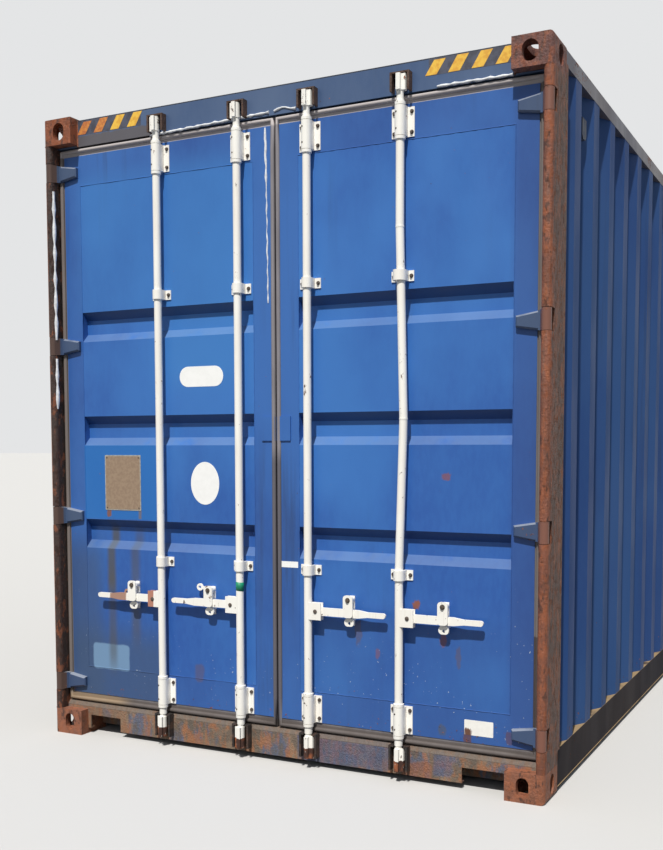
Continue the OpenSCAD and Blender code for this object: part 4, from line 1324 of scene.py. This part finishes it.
@dataclass
class LockGear:
    """The four lock bars with their handles and catches."""

    finishes: Finishes
    bars: tuple[float, ...] = (-594.0, -171.0, 171.0, 594.0)
    height: float = 684.0
    rivet_across: float = 42.0
    rivet_depth: float = 11.5
    hasps: tuple[float, ...] = (118.0, 118.0, 154.0, 154.0)
    hasp_depth: float = 12.0
    hasp_up: float = 57.0
    head_radius: float = 9.0
    bar_depth: float = 28.0
    band_bar: int = 2
    band_radius: float = 17.6
    band_width: float = 38.0
    band_height: float = 768.0
    band_lean: float = -0.12

    def heads(self, number: int, x: float, hasp: float) -> None:
        """Adds the rivet in a handle's hub and the bolt in its hasp.

        Args:
            number: Number of the bar, from the left.
            x: Middle of the bar.
            hasp: Distance from the rivet to the bolt.
        """
        side = 1 if x > 0 else -1
        rivet = x + side * self.rivet_across
        steel = self.finishes["bolt_steel"]
        hub = Piece()
        hub.rivet(rivet, self.rivet_depth, self.height, self.head_radius)
        hub.finish(f"hub_rivet_{number}", steel, f"bar_{number}", "gear_paint", smooth=True)
        bolt = Piece()
        z = self.height + self.hasp_up
        bolt.bolt(rivet + side * hasp, self.hasp_depth, z, self.head_radius, 8.0 * number)
        bolt.finish(f"hasp_bolt_{number}", steel, f"handle_{number}", "gear_paint")

    def band(self) -> None:
        """Adds the green band round a bar."""
        band = Piece()
        made = bmesh.ops.create_cone(
            band.mesh,
            cap_ends=True,
            segments=32,
            radius1=self.band_radius * MM,
            radius2=self.band_radius * MM,
            depth=self.band_width * MM,
        )
        lean = Matrix.Identity(4)
        lean[2][0] = self.band_lean
        x = self.bars[self.band_bar - 1]
        middle = Vector((x * MM, depth_y(self.bar_depth), self.band_height * MM))
        band.place(made, Matrix.Translation(middle) @ lean)
        green = self.finishes["band_green"]
        band.finish("green_band", green, f"bar_{self.band_bar}", "gear_paint", smooth=True)

    def build(self) -> None:
        """Dresses the lock gear and adds its heads and the green band."""
        for number, (x, hasp) in enumerate(zip(self.bars, self.hasps), start=1):
            paint = self.finishes["gear_paint_rusty" if number == 1 else "gear_paint"]
            parts = (f"lock_{part}_{number}" for part in ("bar", "handle", "catch"))
            node_material(paint, *parts)
            self.heads(number, x, hasp)
        self.band()


@dataclass
class Studio:
    """Floor, backdrop light, lamp and camera; angles are in degrees, places in metres."""

    pale: Tone = Tone(200, 199, 197)
    ground: Tone = Tone(72, 71, 69)
    backdrop: Tone = Tone(228, 229, 230)
    reach: float = 300.0
    sky: Point = (0.82, 0.9, 1.0)
    fill: float = 0.38
    key: float = 4.2
    key_size: float = 1.6
    key_tint: Point = (1.0, 0.97, 0.92)
    key_across: float = 10.5
    key_high: float = 56.0
    eye: Point = (2.310, -9.913, 1.367)
    look_down: float = 4.005
    look_left: float = 26.14
    lens: float = 44.09
    sensor: float = 36.0
    shift: Range = (-0.0350, 0.1146)
    far: float = 400.0

    def floor(self) -> None:
        """Adds the plain pale floor, darker for the light that it throws back."""
        mesh = bmesh.new()
        bmesh.ops.create_grid(mesh, x_segments=1, y_segments=1, size=self.reach)
        data = bpy.data.meshes.new("studio_floor")
        mesh.to_mesh(data)
        mesh.free()
        floor = bpy.data.objects.new("studio_floor", data)
        bpy.context.scene.collection.objects.link(floor)
        material = bpy.data.materials.new("studio_floor")
        material.use_nodes = True
        nodes, links = material.node_tree.nodes, material.node_tree.links
        shader = nodes["Principled BSDF"]
        shader.inputs["Roughness"].default_value = 0.9
        shade = nodes.new("ShaderNodeMix")
        shade.data_type = "RGBA"
        shade.inputs[6].default_value = self.ground.rgba()
        shade.inputs[7].default_value = self.pale.rgba()
        links.new(self.seen(material.node_tree), shade.inputs[0])
        links.new(shade.outputs[2], shader.inputs["Base Color"])
        data.materials.append(material)

    def seen(self, tree: bpy.types.NodeTree) -> Socket:
        """Socket that is one for rays that see the backdrop straight, in gloss or through glass.

        Args:
            tree: Node tree of the floor or the world.

        Returns:
            The socket.
        """
        path = tree.nodes.new("ShaderNodeLightPath")
        total = path.outputs["Is Camera Ray"]
        for name in ("Is Glossy Ray", "Is Transmission Ray"):
            adder = tree.nodes.new("ShaderNodeMath")
            adder.operation = "MAXIMUM"
            tree.links.new(total, adder.inputs[0])
            tree.links.new(path.outputs[name], adder.inputs[1])
            total = adder.outputs[0]
        return total

    def world(self) -> None:
        """Sets a plain soft world, pale where it is seen."""
        world = bpy.data.worlds.new("studio_world")
        bpy.context.scene.world = world
        world.use_nodes = True
        tree = world.node_tree
        soft = tree.nodes["Background"]
        soft.inputs["Color"].default_value = (*self.sky, 1.0)
        soft.inputs["Strength"].default_value = self.fill
        pale = tree.nodes.new("ShaderNodeBackground")
        pale.inputs["Color"].default_value = self.backdrop.rgba()
        blend = tree.nodes.new("ShaderNodeMixShader")
        tree.links.new(self.seen(tree), blend.inputs[0])
        tree.links.new(soft.outputs[0], blend.inputs[1])
        tree.links.new(pale.outputs[0], blend.inputs[2])
        tree.links.new(blend.outputs[0], tree.nodes["World Output"].inputs[0])

    def lamp(self) -> None:
        """Adds a high key from the front, a little from the right."""
        key = bpy.data.lights.new("key", "SUN")
        key.energy = self.key
        key.angle = math.radians(self.key_size)
        key.color = self.key_tint
        holder = bpy.data.objects.new("key", key)
        across, high = math.radians(self.key_across), math.radians(self.key_high)
        flat = math.cos(high)
        way = Vector((-math.sin(across) * flat, math.cos(across) * flat, -math.sin(high)))
        holder.rotation_euler = way.to_track_quat("-Z", "Y").to_euler()
        bpy.context.scene.collection.objects.link(holder)

    def camera(self) -> None:
        """Sets the camera at the photograph's viewing angle."""
        data = bpy.data.cameras.new("camera")
        data.lens = self.lens
        data.sensor_width = self.sensor
        data.shift_x, data.shift_y = self.shift
        data.clip_end = self.far
        camera = bpy.data.objects.new("camera", data)
        camera.location = self.eye
        tilt, turn = math.radians(90.0 - self.look_down), math.radians(self.look_left)
        camera.rotation_euler = (tilt, 0.0, turn)
        bpy.context.scene.collection.objects.link(camera)
        bpy.context.scene.camera = camera

    def build(self) -> None:
        """Sets up the whole studio."""
        self.floor()
        self.world()
        self.lamp()
        self.camera()
        bpy.context.scene.view_settings.view_transform = "Standard"


def main() -> None:
    """Builds the studio and dresses the container."""
    logging.basicConfig(level=logging.INFO, format="%(message)s")
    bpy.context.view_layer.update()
    Studio().build()
    finishes = Finishes()
    finishes.make()
    Frame(finishes).build()
    for side in (-1, 1):
        Leaf(finishes, side).build()
    LockGear(finishes).build()


if __name__ == "__main__":
    main()
